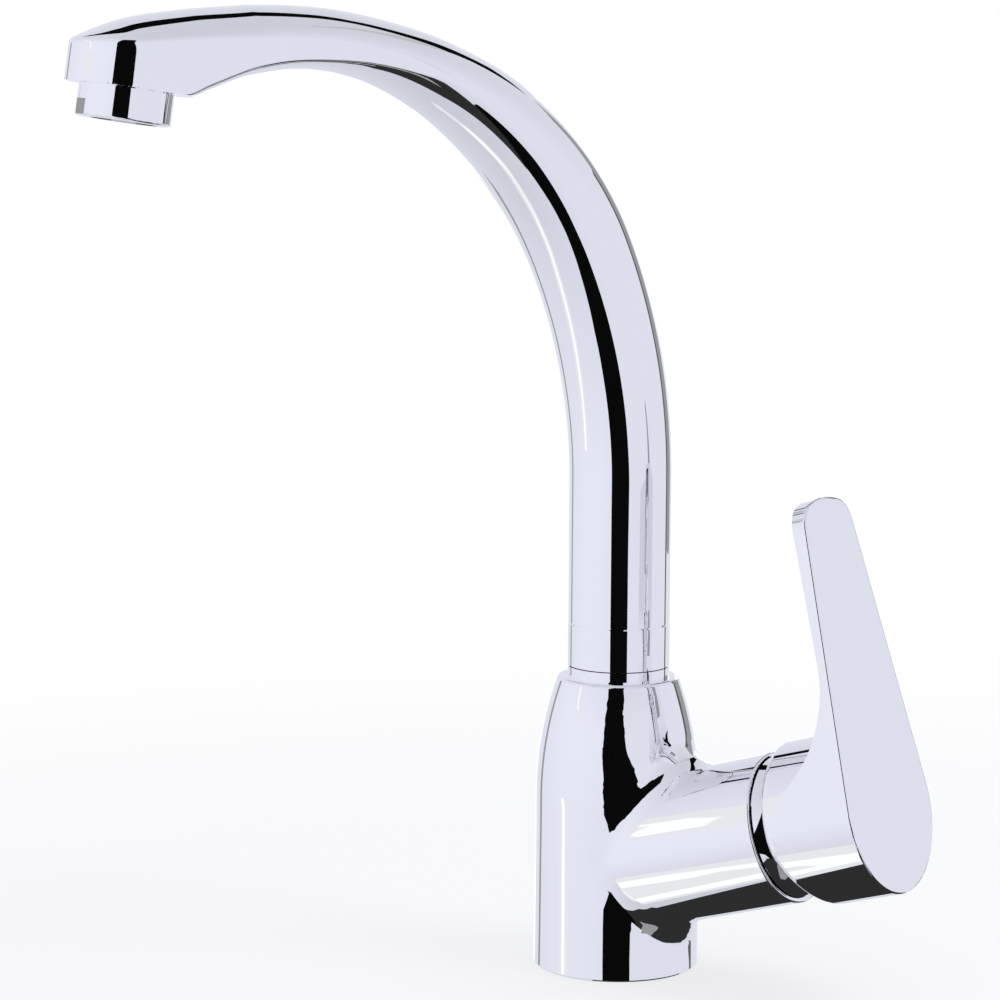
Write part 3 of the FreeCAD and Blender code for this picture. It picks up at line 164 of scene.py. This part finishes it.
CHROME_COLOUR = (0.93, 0.93, 0.95)
CHROME_POLISH = (0.012, 0.03)
FINISHES = {
    "cast_chrome": Finish("CastChrome", CHROME_COLOUR, 1.0, *CHROME_POLISH),
    "barrel_trim": Finish("TrimChrome", CHROME_COLOUR, 1.0, *CHROME_POLISH),
    "lever_chrome": Finish("LeverChrome", CHROME_COLOUR, 1.0, *CHROME_POLISH),
    "spout_chrome": Finish("SpoutChrome", CHROME_COLOUR, 1.0, *CHROME_POLISH),
    "collar_chrome": Finish("CollarChrome", CHROME_COLOUR, 1.0, *CHROME_POLISH),
    "outlet_chrome": Finish("OutletChrome", CHROME_COLOUR, 1.0, 0.015, 0.035),
    "black_rubber": Finish("BlackRubber", (0.02, 0.02, 0.02), 0.0, 0.45, 0.6, 400.0, 0.2),
    "dark_joint": Finish("DarkJoint", (0.03, 0.03, 0.032), 0.0, 0.35, 0.5, 300.0, 0.1),
    "nut_brass": Finish("NutBrass", (0.72, 0.52, 0.24), 1.0, 0.16, 0.3, 300.0, 0.05),
    "pin_steel": Finish("PinSteel", (0.56, 0.56, 0.58), 1.0, 0.18, 0.3, 300.0, 0.05),
    "white_plastic": Finish("WhitePlastic", (0.82, 0.82, 0.80), 0.0, 0.3, 0.42, 200.0),
    "ceramic_white": Finish("CeramicWhite", (0.90, 0.90, 0.87), 0.0, 0.08, 0.16, 200.0),
    "tube_blue": Finish("TubeBlue", (0.16, 0.34, 0.62), 0.0, 0.25, 0.35, 120.0),
    "insert_grey": Finish("InsertGrey", (0.10, 0.105, 0.115), 0.0, 0.35, 0.5, 200.0),
    "screen_steel": Finish("ScreenSteel", (0.55, 0.55, 0.57), 1.0, 0.2, 0.32, 200.0),
    "plug_mark": Finish("PlugSatin", (0.62, 0.62, 0.64), 1.0, 0.22, 0.32, 200.0),
}


class Wardrobe:
    """Builds every finish once and dresses the pieces in them."""

    def __init__(self) -> None:
        """Build the materials of all slots."""
        self.materials = {slot: finish.build() for slot, finish in FINISHES.items()}

    def dress_frame(self) -> None:
        """Give each CAD node the finish of its slot."""
        slots = {part["node"]: part["material_slot"] for part in frame["record"]["subparts"]}
        for node, thing in frame["nodes"].items():
            thing.data.materials.clear()
            thing.data.materials.append(self.materials[slots[node]])

    def dress(self, thing: bpy.types.Object, slot: str) -> None:
        """Give a new piece the finish of a slot.

        Args:
            thing: The piece.
            slot: The record's slot name.
        """
        thing.data.materials.clear()
        thing.data.materials.append(self.materials[slot])


# ---- the spout ----------------------------------------------------------------------------------


def new_piece(name: str, points: list[Vector], faces: list[tuple[int, ...]],
              body: Body) -> bpy.types.Object:
    """Make a mesh piece and let it ride on its body.

    Args:
        name: The piece's name.
        points: Its points in metres, in the scene's frame.
        faces: Its faces, by point numbers.
        body: The body it moves with.

    Returns:
        The new object, at the origin.
    """
    mesh = bpy.data.meshes.new(name)
    mesh.from_pydata(points, [], faces)
    mesh.validate()
    thing = bpy.data.objects.new(name, mesh)
    bpy.context.scene.collection.objects.link(thing)
    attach(thing, body.value)
    return thing


def pick_only(thing: bpy.types.Object) -> None:
    """Select one object alone and make it active.

    Args:
        thing: The object.
    """
    bpy.ops.object.select_all(action="DESELECT")
    thing.select_set(True)
    bpy.context.view_layer.objects.active = thing


@dataclass(frozen=True)
class Station:
    """Section of the spout where its mid-line has turned by an angle: heights and half widths in mm."""

    turn: float
    crown: float
    belly: float
    crown_width: float
    belly_width: float


@dataclass
class SpoutCasting:
    """The cast spout: one smooth skin from the tube's foot to the trimmed end block, sizes in mm."""

    heading: float = 237.5
    foot: float = 103.1
    bend_start: float = 145.5
    bends: tuple[tuple[float, float], ...] = ((171.0, 23.0), (98.0, 97.0), (235.0, 180.0))
    block_turn: float = 105.0
    outlet_ahead: float = 1.7
    outlet_drop: float = 6.15
    outlet_tilt: float = 8.3
    half_width: float = 17.2
    trim_start: float = -88.0
    side_flat: float = 3.6
    socket_radius: float = 11.9
    socket_height: float = 13.0
    seat_height: float = 6.0
    seat_overcut: float = 1.0
    seat_sides: int = 96
    arc_steps: int = 64
    side_steps: int = 14
    tube_rings: int = 24
    bend_rings: int = 150
    block_rings: int = 90
    edge_reach: float = 2.6
    foot_reach: float = 1.4
    edge_fade: float = 0.5
    edge_group: str = "SoftEdges"
    edge_share: float = 0.5
    edge_passes: int = 14
    weld_reach: float = 0.02
    sliver_reach: float = 0.01
    crease_angle: float = 40.0
    softness: list[float] = field(default_factory=list)
    stations: tuple[Station, ...] = (
        Station(0.0, 15.0, 15.0, 15.0, 15.0), Station(11.0, 15.2, 15.2, 15.1, 15.1),
        Station(23.0, 15.3, 15.2, 15.3, 15.3), Station(36.0, 14.8, 14.7, 15.7, 15.7),
        Station(50.0, 13.3, 13.1, 16.3, 16.4), Station(64.0, 10.9, 11.0, 16.9, 17.2),
        Station(78.0, 9.5, 9.0, 17.2, 19.4), Station(88.0, 9.6, 8.7, 17.2, 22.0),
        Station(97.0, 10.4, 9.4, 17.4, 22.8), Station(101.0, 11.7, 11.7, 18.3, 26.0),
        Station(105.0, 12.9, 15.0, 20.5, 28.0), Station(109.0, 11.4, 15.0, 25.0, 28.0),
        Station(111.5, 9.4, 14.0, 26.0, 28.0))

    def mid_line(self, turn: float) -> tuple[float, float]:
        """Point of the mid-line, as (out, up) in mm.

        Args:
            turn: Degrees that the mid-line has turned.

        Returns:
            How far out and how high it is there.
        """
        out, up, turned = 0.0, self.bend_start, 0.0
        for radius, until in self.bends:
            stop = min(turn, until)
            before, after = math.radians(turned), math.radians(stop)
            out += radius * (math.cos(before) - math.cos(after))
            up += radius * (math.sin(after) - math.sin(before))
            turned = stop
            if stop >= turn:
                break
        return out, up

    def size_at(self, kind: str, turn: float) -> float:
        """A section size at any turn, on a smooth cubic curve through the stations.

        Args:
            kind: Name of the station's size.
            turn: Degrees that the mid-line has turned.

        Returns:
            The size in mm.
        """
        turns = [station.turn for station in self.stations]
        sizes = [getattr(station, kind) for station in self.stations]
        steps = [b - a for a, b in zip(turns, turns[1:])]
        rates = [(b - a) / step for a, b, step in zip(sizes, sizes[1:], steps)]
        slopes = [0.0]
        for before, after in zip(rates, rates[1:]):
            slopes.append(0.0 if before * after <= 0 else 2 * before * after / (before + after))
        slopes.append(rates[-1])
        span = max(i for i, start in enumerate(turns[:-1]) if start <= turn)
        step = steps[span]
        part = (turn - turns[span]) / step
        rest = 1 - part
        ends = sizes[span] * (1 + 2 * part) * rest ** 2 + sizes[span + 1] * (3 - 2 * part) * part ** 2
        return ends + step * part * rest * (slopes[span] * rest - slopes[span + 1] * part)

    def section(self, turn: float) -> list[tuple[float, float]]:
        """Points of a section, as (across, outward) in mm: crown, side, belly, side.

        Args:
            turn: Degrees that the mid-line has turned.

        Returns:
            The points, once round.
        """
        side = math.radians(self.side_flat)
        sweep = math.pi - 2 * side
        angles = [side + sweep * i / self.arc_steps for i in range(self.arc_steps + 1)]
        width, height = self.size_at("crown_width", turn), self.size_at("crown", turn)
        crown = [(width * math.cos(a), height * math.sin(a)) for a in angles]
        width, height = self.size_at("belly_width", turn), self.size_at("belly", turn)
        belly = [(-width * math.cos(a), -height * math.sin(a)) for a in angles]
        return crown + self.between(crown[-1], belly[0]) + belly + self.between(belly[-1], crown[0])

    def between(self, start: tuple[float, float], end: tuple[float, float]) -> list[tuple[float, float]]:
        """Points inside a straight side, its ends left out.

        Args:
            start: One end of the side, as (across, outward).
            end: The other end.

        Returns:
            The points from start to end.
        """
        parts = [i / self.side_steps for i in range(1, self.side_steps)]
        return [(start[0] + (end[0] - start[0]) * k, start[1] + (end[1] - start[1]) * k) for k in parts]

    def place(self, turn: float, across: float, outward: float, lower: float = 0.0) -> Vector:
        """Point of a section in the scene's frame, trimmed where the end block is.

        Args:
            turn: Degrees that the mid-line has turned.
            across: Distance to the side in mm.
            outward: Distance from the mid-line in mm, to the outside of the bend.
            lower: How far the section stands below the bend.

        Returns:
            The point in metres.
        """
        out, up = self.mid_line(turn)
        angle = math.radians(turn)
        spot = Vector((out - math.cos(angle) * outward, across, up + math.sin(angle) * outward - lower))
        spot = self.trim(spot)
        return Matrix.Rotation(math.radians(self.heading), 3, "Z") @ spot * MM

    def outlet(self) -> tuple[Vector, Matrix]:
        """Where the outlet is, in the spout's own plane.

        Returns:
            The outlet's centre in mm and the turn of its frame.
        """
        out, up = self.mid_line(self.block_turn)
        centre = Vector((out + self.outlet_ahead, 0.0, up - self.outlet_drop))
        return centre, Matrix.Rotation(math.radians(-self.outlet_tilt), 3, "Y")

    def trim(self, spot: Vector) -> Vector:
        """Bring a point inside the end block's sides, nose and foot, and note how soft its edge is.

        Args:
            spot: The point in the spout's own plane, in mm.

        Returns:
            The trimmed point.
        """
        centre, tilt = self.outlet()
        own = tilt.inverted() @ (spot - centre)
        if own.x < self.trim_start:
            self.softness.append(0.0)
            return spot
        reach = math.hypot(own.x, own.y) if own.x > 0 else abs(own.y)
        at_wall = 1.0 - abs(reach - self.half_width) / self.edge_reach if own.z > 0 else 0.0
        at_foot = 1.0 - abs(own.z) / self.foot_reach
        fade = min(1.0, (own.x - self.trim_start) / (abs(self.trim_start) * self.edge_fade))
        self.softness.append(max(at_wall * fade, at_foot, 0.0))
        if reach > self.half_width:
            shrink = self.half_width / reach
            own.y *= shrink
            own.x *= shrink if own.x > 0 else 1.0
        own.z = max(own.z, 0.0)
        return centre + tilt @ own

    def rings(self) -> list[tuple[float, float]]:
        """List the sections of the skin, from the foot to the tip.

        Returns:
            The turn of every section and its depth below the bend.
        """
        tube = self.bend_start - self.foot
        straight = [(0.0, tube * (1 - i / self.tube_rings)) for i in range(self.tube_rings)]
        start = self.bends[1][1]
        bend = [(start * i / self.bend_rings, 0.0) for i in range(self.bend_rings)]
        tip = self.stations[-1].turn
        parts = [i / self.block_rings for i in range(self.block_rings + 1)]
        block = [(start + (tip - start) * part, 0.0) for part in parts]
        return straight + bend + block

    def build(self, wardrobe: Wardrobe) -> bpy.types.Object:
        """Build the skin, close its ends, sink its seat and dress it.

        Args:
            wardrobe: The finishes.

        Returns:
            The spout's object.
        """
        points: list[Vector] = []
        faces: list[tuple[int, ...]] = []
        rings = self.rings()
        for turn, lower in rings:
            points += [self.place(turn, x, y, lower) for x, y in self.section(turn)]
        count = len(points) // len(rings)
        for row in range(len(rings) - 1):
            low, high = row * count, (row + 1) * count
            for i in range(count):
                after = (i + 1) % count
                faces.append((low + i, low + after, high + after, high + i))
        self.close_tip(points, faces, count, rings[-1][0])
        self.close_foot(points, faces, count)
        spout = new_piece("spout_casting", points, faces, Body.SPOUT)
        soft = spout.vertex_groups.new(name=self.edge_group)
        for index, weight in enumerate(self.softness):
            if weight > 0.0:
                soft.add([index], weight, "REPLACE")
        self.finish_mesh(spout)
        self.sink_seat(spout)
        wardrobe.dress(spout, "spout_chrome")
        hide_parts("spout_shell")
        return spout

    def close_tip(self, points: list[Vector], faces: list[tuple[int, ...]], count: int,
                  turn: float) -> None:
        """Fill the tip with a grid between its crown and its belly.

        Args:
            points: All points so far, added to.
            faces: All faces so far, added to.
            count: Points in a ring.
            turn: The last ring's turn.
        """
        last = len(points) - count
        ring = self.section(turn)
        arc, side = self.arc_steps, self.side_steps
        columns = []
        for i in range(arc + 1):
            top, foot = i, (arc + side + arc - i) % count
            if i == 0:
                inner = [last + count - k for k in range(1, side)]
            elif i == arc:
                inner = [last + arc + k for k in range(1, side)]
            else:
                inner = []
                for across, outward in self.between(ring[top], ring[foot]):
                    inner.append(len(points))
                    points.append(self.place(turn, across, outward))
            columns.append([last + top, *inner, last + foot])
        for left, right in zip(columns, columns[1:]):
            faces += [(left[k], right[k], right[k + 1], left[k + 1]) for k in range(side)]

    def close_foot(self, points: list[Vector], faces: list[tuple[int, ...]], count: int) -> None:
        """Close the foot with a socket for the collar's spigot.

        Args:
            points: All points so far, added to.
            faces: All faces so far, added to.
            count: Points in a ring.
        """
        ring = self.section(0.0)
        below = 0
        for height in (self.foot, self.foot + self.socket_height):
            start = len(points)
            for x, y in ring:
                scale = self.socket_radius / math.hypot(x, y)
                points.append(self.place(0.0, x * scale, y * scale, self.bend_start - height))
            for i in range(count):
                after = (i + 1) % count
                faces.append((below + after, below + i, start + i, start + after))
            below = start
        faces.append(tuple(reversed([below + i for i in range(count)])))

    def finish_mesh(self, spout: bpy.types.Object) -> None:
        """Merge what the trim brought together, face it outward and round the block's edges.

        Args:
            spout: The spout's object.
        """
        pick_only(spout)
        bpy.ops.object.mode_set(mode="EDIT")
        bpy.ops.mesh.select_all(action="SELECT")
        bpy.ops.mesh.remove_doubles(threshold=self.weld_reach * MM)
        bpy.ops.mesh.dissolve_degenerate(threshold=self.sliver_reach * MM)
        bpy.ops.mesh.normals_make_consistent(inside=False)
        bpy.ops.object.mode_set(mode="OBJECT")
        round_off = spout.modifiers.new(self.edge_group, "SMOOTH")
        round_off.vertex_group = self.edge_group
        round_off.factor = self.edge_share
        round_off.iterations = self.edge_passes
        bpy.ops.object.modifier_apply(modifier=round_off.name)
        bpy.ops.object.shade_smooth_by_angle(angle=math.radians(self.crease_angle))

    def sink_seat(self, spout: bpy.types.Object) -> None:
        """Cut the seat of the outlet ring into the block's foot.

        Args:
            spout: The spout's object.
        """
        centre, tilt = self.outlet()
        turn = Matrix.Rotation(math.radians(self.heading), 3, "Z")
        middle = centre + tilt @ Vector((0.0, 0.0, (self.seat_height - self.seat_overcut) / 2))
        bpy.ops.object.select_all(action="DESELECT")
        bpy.ops.mesh.primitive_cylinder_add(vertices=self.seat_sides, radius=self.socket_radius * MM,
                                            depth=(self.seat_height + self.seat_overcut) * MM)
        cutter = bpy.context.object
        cutter.matrix_world = Matrix.LocRotScale(turn @ middle * MM, (turn @ tilt).to_quaternion(), None)
        cut = spout.modifiers.new("Seat", "BOOLEAN")
        cut.operation = "DIFFERENCE"
        cut.solver = "EXACT"
        cut.object = cutter
        pick_only(spout)
        bpy.ops.object.modifier_apply(modifier=cut.name)
        bpy.data.objects.remove(cutter)


# ---- camera and studio --------------------------------------------------------------------------


@dataclass
class Photographer:
    """The camera that looks at the tap as the photo does: degrees, mm and pixels."""

    turn: float = PHOTO_TURN
    side: float = -35.3
    back: float = 940.0
    height: float = 266.0
    level: float = 90.0
    pitch: float = 7.7
    roll: float = 0.33
    focal: float = 3224.0
    frame_pixels: float = 1000.0
    sensor: float = 36.0
    nearest: float = 50.0
    farthest: float = 60000.0

    def place(self) -> bpy.types.Object:
        """Create the camera and make it the scene's own.

        Returns:
            The camera object.
        """
        data = bpy.data.cameras.new("PhotoCamera")
        data.sensor_width = self.sensor
        data.lens = self.focal / self.frame_pixels * self.sensor
        data.clip_start = self.nearest * MM
        data.clip_end = self.farthest * MM
        camera = bpy.data.objects.new("PhotoCamera", data)
        bpy.context.scene.collection.objects.link(camera)
        spin = Matrix.Rotation(math.radians(self.turn), 4, "Z")
        spot = Matrix.Translation(Vector((self.side, -self.back, self.height)) * MM)
        tilt = Matrix.Rotation(math.radians(self.level - self.pitch), 4, "X")
        lean = Matrix.Rotation(math.radians(self.roll), 4, "Z")
        camera.matrix_world = spin @ spot @ tilt @ lean
        bpy.context.scene.camera = camera
        return camera


class Tone(Enum):
    """How light a studio card looks in the chrome, as a linear grey."""

    BLACK = 0.003
    # near-black of the sheet below the tap: painted shade that the chrome mirrors
    SOOT = 0.028
    SLATE = 0.12
    GREY = 0.34
    PALE = 0.56
    LIGHT = 0.88
    GLARE = 1.10


@dataclass(frozen=True)
class Card:
    """A card that only the chrome sees: corners as (turn, rise) in degrees, distance in metres."""

    name: str
    tone: Tone
    corners: tuple[tuple[float, float], ...]
    distance: float = 3.0


STUDIO_CARDS = (
    Card("FrontCard", Tone.BLACK, (
        (-14.0, 50.0), (-16.5, 45.0), (-19.0, 30.0), (-23.0, 15.0), (-24.0, 6.0), (-22.5, 0.0),
        (-21.0, -6.0), (-20.5, -12.0), (-19.5, -18.0), (-17.5, -22.0), (-8.0, -26.0), (-3.0, -30.0),
        (0.0, -35.0), (2.5, -45.0), (14.0, -45.0), (24.0, -42.0), (31.0, -31.0), (27.0, -24.0),
        (19.0, -20.0), (17.5, -16.0), (17.5, -9.0), (20.0, -5.0), (24.0, -3.0), (24.0, -0.5),
        (15.0, 3.0), (10.0, 8.0), (8.0, 15.0), (9.0, 30.0), (12.0, 45.0), (12.0, 50.0))),
    Card("LowGreyCard", Tone.GREY, (
        (29.0, -38.0), (26.0, -43.0), (17.0, -46.0), (26.0, -57.0), (41.0, -66.0), (44.0, -50.0),
        (43.0, -38.0)), 0.40),
    Card("BackCard", Tone.BLACK, (
        (141.0, 31.0), (143.0, 40.0), (137.0, 46.0), (142.0, 52.0), (152.0, 58.0), (170.0, 62.0),
        (186.0, 62.0), (200.0, 58.0), (207.0, 48.0), (209.0, 36.0), (204.0, 26.0), (203.0, 36.0),
        (200.0, 44.0), (188.0, 47.5), (172.0, 50.0), (162.0, 50.0), (157.0, 44.0), (156.0, 31.0))),
    Card("SideCard", Tone.GREY, (
        (131.0, -9.0), (128.0, 2.0), (128.0, 12.0), (133.0, 28.0), (146.0, 28.0), (147.0, 10.0),
        (149.0, 0.0), (150.0, -9.0))),
    Card("SideLineCard", Tone.SLATE, (
        (126.0, -22.0), (124.0, 2.0), (124.0, 20.0), (130.0, 20.0), (130.0, 2.0), (132.0, -22.0)), 2.9),
    Card("StreakCard", Tone.PALE, (
        (76.0, 66.0), (100.0, 66.0), (122.0, 60.0), (138.0, 53.0), (134.0, 46.0), (118.0, 54.0),
        (100.0, 62.0), (76.0, 64.0)), 3.1),
    Card("EdgeCard", Tone.GREY, (
        (-141.5, -33.0), (-140.0, 9.0), (-133.5, 9.0), (-134.5, -33.0))),
    Card("LineCard", Tone.GREY, (
        (62.0, -11.0), (64.0, -4.5), (66.0, -4.0), (71.0, -11.0))),
    Card("LampCard", Tone.GLARE, (
        (155.0, 2.0), (150.0, 14.0), (160.0, 20.0), (176.0, 9.0), (190.0, -8.0), (201.0, -16.0),
        (199.0, -27.0), (186.0, -24.0), (172.0, -6.0))),
    Card("TubeCard", Tone.LIGHT, (
        (-92.0, -12.0), (-84.0, -25.0), (-71.0, -38.0), (-68.0, -48.0), (-69.0, -56.0),
        (-78.0, -62.0), (-100.0, -66.5), (-132.0, -67.0), (-132.0, -72.0), (-96.0, -71.0),
        (-66.0, -67.0), (-52.0, -60.0), (-50.0, -50.0), (-56.0, -38.0), (-69.0, -24.0),
        (-77.0, -12.0)), 3.1),
    Card("TubeCoreCard", Tone.GLARE, (
        (-87.0, -12.0), (-78.0, -25.0), (-66.5, -38.0), (-61.5, -48.0), (-63.0, -56.0),
        (-75.0, -62.5), (-98.0, -67.5), (-98.0, -69.5), (-70.0, -66.0), (-56.0, -58.0),
        (-56.0, -49.0), (-61.0, -38.0), (-73.0, -24.5), (-82.0, -12.0))),
    Card("HighGlowCard", Tone.LIGHT, (
        (-100.0, 24.0), (-84.0, 20.0), (-76.0, 11.0), (-70.0, 8.0), (-70.0, 14.0), (-74.0, 20.0),
        (-82.0, 27.0), (-98.0, 31.0)), 3.1),
    Card("HighCoreCard", Tone.GLARE, (
        (-98.0, 26.5), (-82.0, 21.5), (-75.0, 12.5), (-73.0, 12.5), (-77.0, 19.0), (-82.0, 23.5),
        (-97.0, 28.5))),
)
# Corners in mm of the dark sheet below the tap: painted shade for the shadow under the barrel, mirrored in
# the chrome's undersides
SHADE_SHEET_CORNERS = (
    (-42.0, 150.0), (-46.0, 0.0), (-46.0, -150.0), (-30.0, -300.0), (-20.0, -480.0),
    (330.0, -520.0), (470.0, -260.0), (470.0, 160.0), (250.0, 260.0), (60.0, 240.0))


def hide_from_all_but_chrome(thing: bpy.types.Object) -> None:
    """Keep a studio object out of the picture, the shadows and the matt surfaces.

    Args:
        thing: The studio object.
    """
    thing.visible_camera = False
    thing.visible_diffuse = False
    thing.visible_transmission = False
    thing.visible_volume_scatter = False
    thing.visible_shadow = False


@dataclass
class Studio:
    """Pale floor, white surround, soft light and the cards that the chrome mirrors.

    Lengths are in metres, the two drops in mm, turns and rises in degrees.
    """

    turn: float = PHOTO_TURN
    middle: float = 0.15
    floor_size: float = 40.0
    floor_drop: float = 0.2
    floor_white: float = 0.9
    floor_share: float = 0.72
    shadow_reach: float = 0.16
    shadow_end: float = 0.55
    tint: tuple[float, float, float] = (0.775, 0.79, 0.88)
    fade_start: float = 0.2
    zenith: float = 0.80
    glow_turn: float = -70.0
    glow_rise: float = 28.0
    glow_gain: float = 0.10
    # how far below the dark sheet of painted shade hangs, in mm
    shade_sheet_drop: float = 200.0
    card_tint: tuple[float, float, float] = (0.97, 0.98, 1.0)
    lamp_place: tuple[float, float, float] = (0.9, 0.2, 1.2)
    lamp_aim: tuple[float, float, float] = (0.0, 0.0, 0.1)
    lamp_size: float = 0.6
    lamp_power: float = 6.0

    def build(self) -> None:
        """Build the world, the floor, the cards and the lamp."""
        self.build_world()
        self.build_floor()
        for card in STUDIO_CARDS:
            self.build_card(card)
        self.build_shade_sheet()
        self.build_lamp()

    def toward(self, turn: float, rise: float) -> Vector:
        """Unit vector of a direction given from the camera's side.

        Args:
            turn: Degrees to the right of the camera, seen from the camera.
            rise: Degrees above the horizon.

        Returns:
            The direction in the scene's frame.
        """
        aside, up = math.radians(turn), math.radians(rise)
        flat = Vector((math.sin(aside) * math.cos(up), -math.cos(aside) * math.cos(up), math.sin(up)))
        return Matrix.Rotation(math.radians(self.turn), 3, "Z") @ flat

    def build_world(self) -> None:
        """White to the camera, cool grey with a brighter left side to the metal."""
        world = bpy.data.worlds.new("PaleSurround")
        bpy.context.scene.world = world
        world.use_nodes = True
        nodes, links = world.node_tree.nodes, world.node_tree.links
        nodes.clear()
        out = nodes.new("ShaderNodeOutputWorld")
        back = nodes.new("ShaderNodeBackground")
        back.inputs["Color"].default_value = WHITE
        room = nodes.new("ShaderNodeBackground")
        links.new(self.room_colour(nodes, links), room.inputs["Color"])
        path = nodes.new("ShaderNodeLightPath")
        mix = nodes.new("ShaderNodeMixShader")
        links.new(path.outputs["Is Camera Ray"], mix.inputs["Fac"])
        links.new(room.outputs[0], mix.inputs[1])
        links.new(back.outputs[0], mix.inputs[2])
        links.new(mix.outputs[0], out.inputs["Surface"])

    def room_colour(self, nodes: bpy.types.Nodes, links: bpy.types.NodeLinks) -> bpy.types.NodeSocket:
        """Mix the colour of the surround that the metal mirrors, by direction.

        Args:
            nodes: The world's nodes.
            links: The world's links.

        Returns:
            The socket that gives the colour.
        """
        place = nodes.new("ShaderNodeTexCoord")
        split = nodes.new("ShaderNodeSeparateXYZ")
        steep = nodes.new("ShaderNodeMath")
        steep.operation = "ABSOLUTE"
        fade = add_range(nodes, self.fade_start, 1.0, 1.0, self.zenith)
        facing = nodes.new("ShaderNodeVectorMath")
        facing.operation = "DOT_PRODUCT"
        facing.inputs[1].default_value = self.toward(self.glow_turn, self.glow_rise)
        glow = add_range(nodes, self.fade_start, 1.0, 1.0, 1.0 + self.glow_gain)
        level = nodes.new("ShaderNodeMath")
        level.operation = "MULTIPLY"
        tone = nodes.new("ShaderNodeVectorMath")
        tone.operation = "SCALE"
        tone.inputs[0].default_value = self.tint
        links.new(place.outputs["Generated"], split.inputs[0])
        links.new(split.outputs["Z"], steep.inputs[0])
        links.new(steep.outputs[0], fade.inputs["Value"])
        links.new(place.outputs["Generated"], facing.inputs[0])
        links.new(facing.outputs["Value"], glow.inputs["Value"])
        links.new(fade.outputs[0], level.inputs[0])
        links.new(glow.outputs[0], level.inputs[1])
        links.new(level.outputs[0], tone.inputs["Scale"])
        return tone.outputs[0]

    def build_floor(self) -> None:
        """A wide pale floor that stays white to the camera and keeps a faint shadow."""
        bpy.ops.object.select_all(action="DESELECT")
        bpy.ops.mesh.primitive_plane_add(size=self.floor_size, location=(0.0, 0.0, -self.floor_drop * MM))
        floor = bpy.context.object
        floor.name = "StudioFloor"
        floor.data.materials.append(self.floor_material())
        floor.visible_glossy = False

    def floor_material(self) -> bpy.types.Material:
        """Build the floor's material: pale and matt, and more and more plain white farther out.

        Returns:
            The material.
        """
        material = bpy.data.materials.new("PaleFloor")
        material.use_nodes = True
        nodes, links = material.node_tree.nodes, material.node_tree.links
        nodes.clear()
        out = nodes.new("ShaderNodeOutputMaterial")
        matt = nodes.new("ShaderNodeBsdfDiffuse")
        matt.inputs["Color"].default_value = (*(self.floor_white,) * 3, 1.0)
        glow = nodes.new("ShaderNodeEmission")
        glow.inputs["Strength"].default_value = 1.0
        path = nodes.new("ShaderNodeLightPath")
        place = nodes.new("ShaderNodeTexCoord")
        reach = nodes.new("ShaderNodeVectorMath")
        reach.operation = "LENGTH"
        fade = add_range(nodes, self.shadow_reach, self.shadow_end, self.floor_share, 1.0)
        fade.interpolation_type = "SMOOTHSTEP"
        share = nodes.new("ShaderNodeMath")
        share.operation = "MULTIPLY"
        mix = nodes.new("ShaderNodeMixShader")
        links.new(place.outputs["Object"], reach.inputs[0])
        links.new(reach.outputs["Value"], fade.inputs["Value"])
        links.new(path.outputs["Is Camera Ray"], share.inputs[0])
        links.new(fade.outputs[0], share.inputs[1])
        links.new(share.outputs[0], mix.inputs["Fac"])
        links.new(matt.outputs[0], mix.inputs[1])
        links.new(glow.outputs[0], mix.inputs[2])
        links.new(mix.outputs[0], out.inputs["Surface"])
        return material

    def build_card(self, card: Card) -> None:
        """Stand one card at its distance, facing the tap.

        Args:
            card: The card's tone and corners.
        """
        heart = Vector((0.0, 0.0, self.middle))
        corners = [heart + self.toward(turn, rise) * card.distance for turn, rise in card.corners]
        self.hang(card.name, corners, card.tone)

    def build_shade_sheet(self) -> None:
        """A dark sheet well below the tap, which its undersides mirror: painted shade standing in for the
        shadow under the barrel.
        """
        spin = Matrix.Rotation(math.radians(self.turn), 3, "Z")
        corners = [spin @ Vector((right, away, -self.shade_sheet_drop)) * MM for right, away in SHADE_SHEET_CORNERS]
        # near-black painted shade, seen only in the chrome
        self.hang("ShadeSheetCard", corners, Tone.SOOT)

    def hang(self, name: str, corners: list[Vector], tone: Tone) -> None:
        """Make one card from its corners and keep it to the chrome.

        Args:
            name: The card's name.
            corners: Its corners in the scene's frame.
            tone: How light it looks.
        """
        mesh = bpy.data.meshes.new(name)
        mesh.from_pydata(corners, [], [tuple(range(len(corners)))])
        thing = bpy.data.objects.new(name, mesh)
        bpy.context.scene.collection.objects.link(thing)
        material = bpy.data.materials.new(name)
        material.use_nodes = True
        nodes, links = material.node_tree.nodes, material.node_tree.links
        nodes.clear()
        out = nodes.new("ShaderNodeOutputMaterial")
        light = nodes.new("ShaderNodeEmission")
        light.inputs["Color"].default_value = (*(part * tone.value for part in self.card_tint), 1.0)
        links.new(light.outputs[0], out.inputs["Surface"])
        mesh.materials.append(material)
        hide_from_all_but_chrome(thing)

    def build_lamp(self) -> None:
        """A soft key lamp high on the right, for the floor's shadow and the plastics."""
        data = bpy.data.lights.new("KeyLamp", "AREA")
        data.shape = "RECTANGLE"
        data.size = data.size_y = self.lamp_size
        data.energy = self.lamp_power
        lamp = bpy.data.objects.new("KeyLamp", data)
        bpy.context.scene.collection.objects.link(lamp)
        lamp.location = self.lamp_place
        lamp.rotation_euler = (Vector(self.lamp_aim) - lamp.location).to_track_quat("-Z", "Y").to_euler()
        lamp.visible_glossy = False


def main() -> None:
    """Dress the frame, build the scene and note the sizes."""
    logging.basicConfig(level=logging.INFO, format="%(name)s: %(message)s")
    wardrobe = Wardrobe()
    wardrobe.dress_frame()
    log.info("%d CAD nodes dressed", len(frame["nodes"]))
    spout = SpoutCasting().build(wardrobe)
    log.info("%s: %d faces", spout.name, len(spout.data.polygons))
    Studio().build()
    Photographer().place()
    view = bpy.context.scene.view_settings
    view.view_transform = "Standard"


if __name__ == "__main__":
    main()
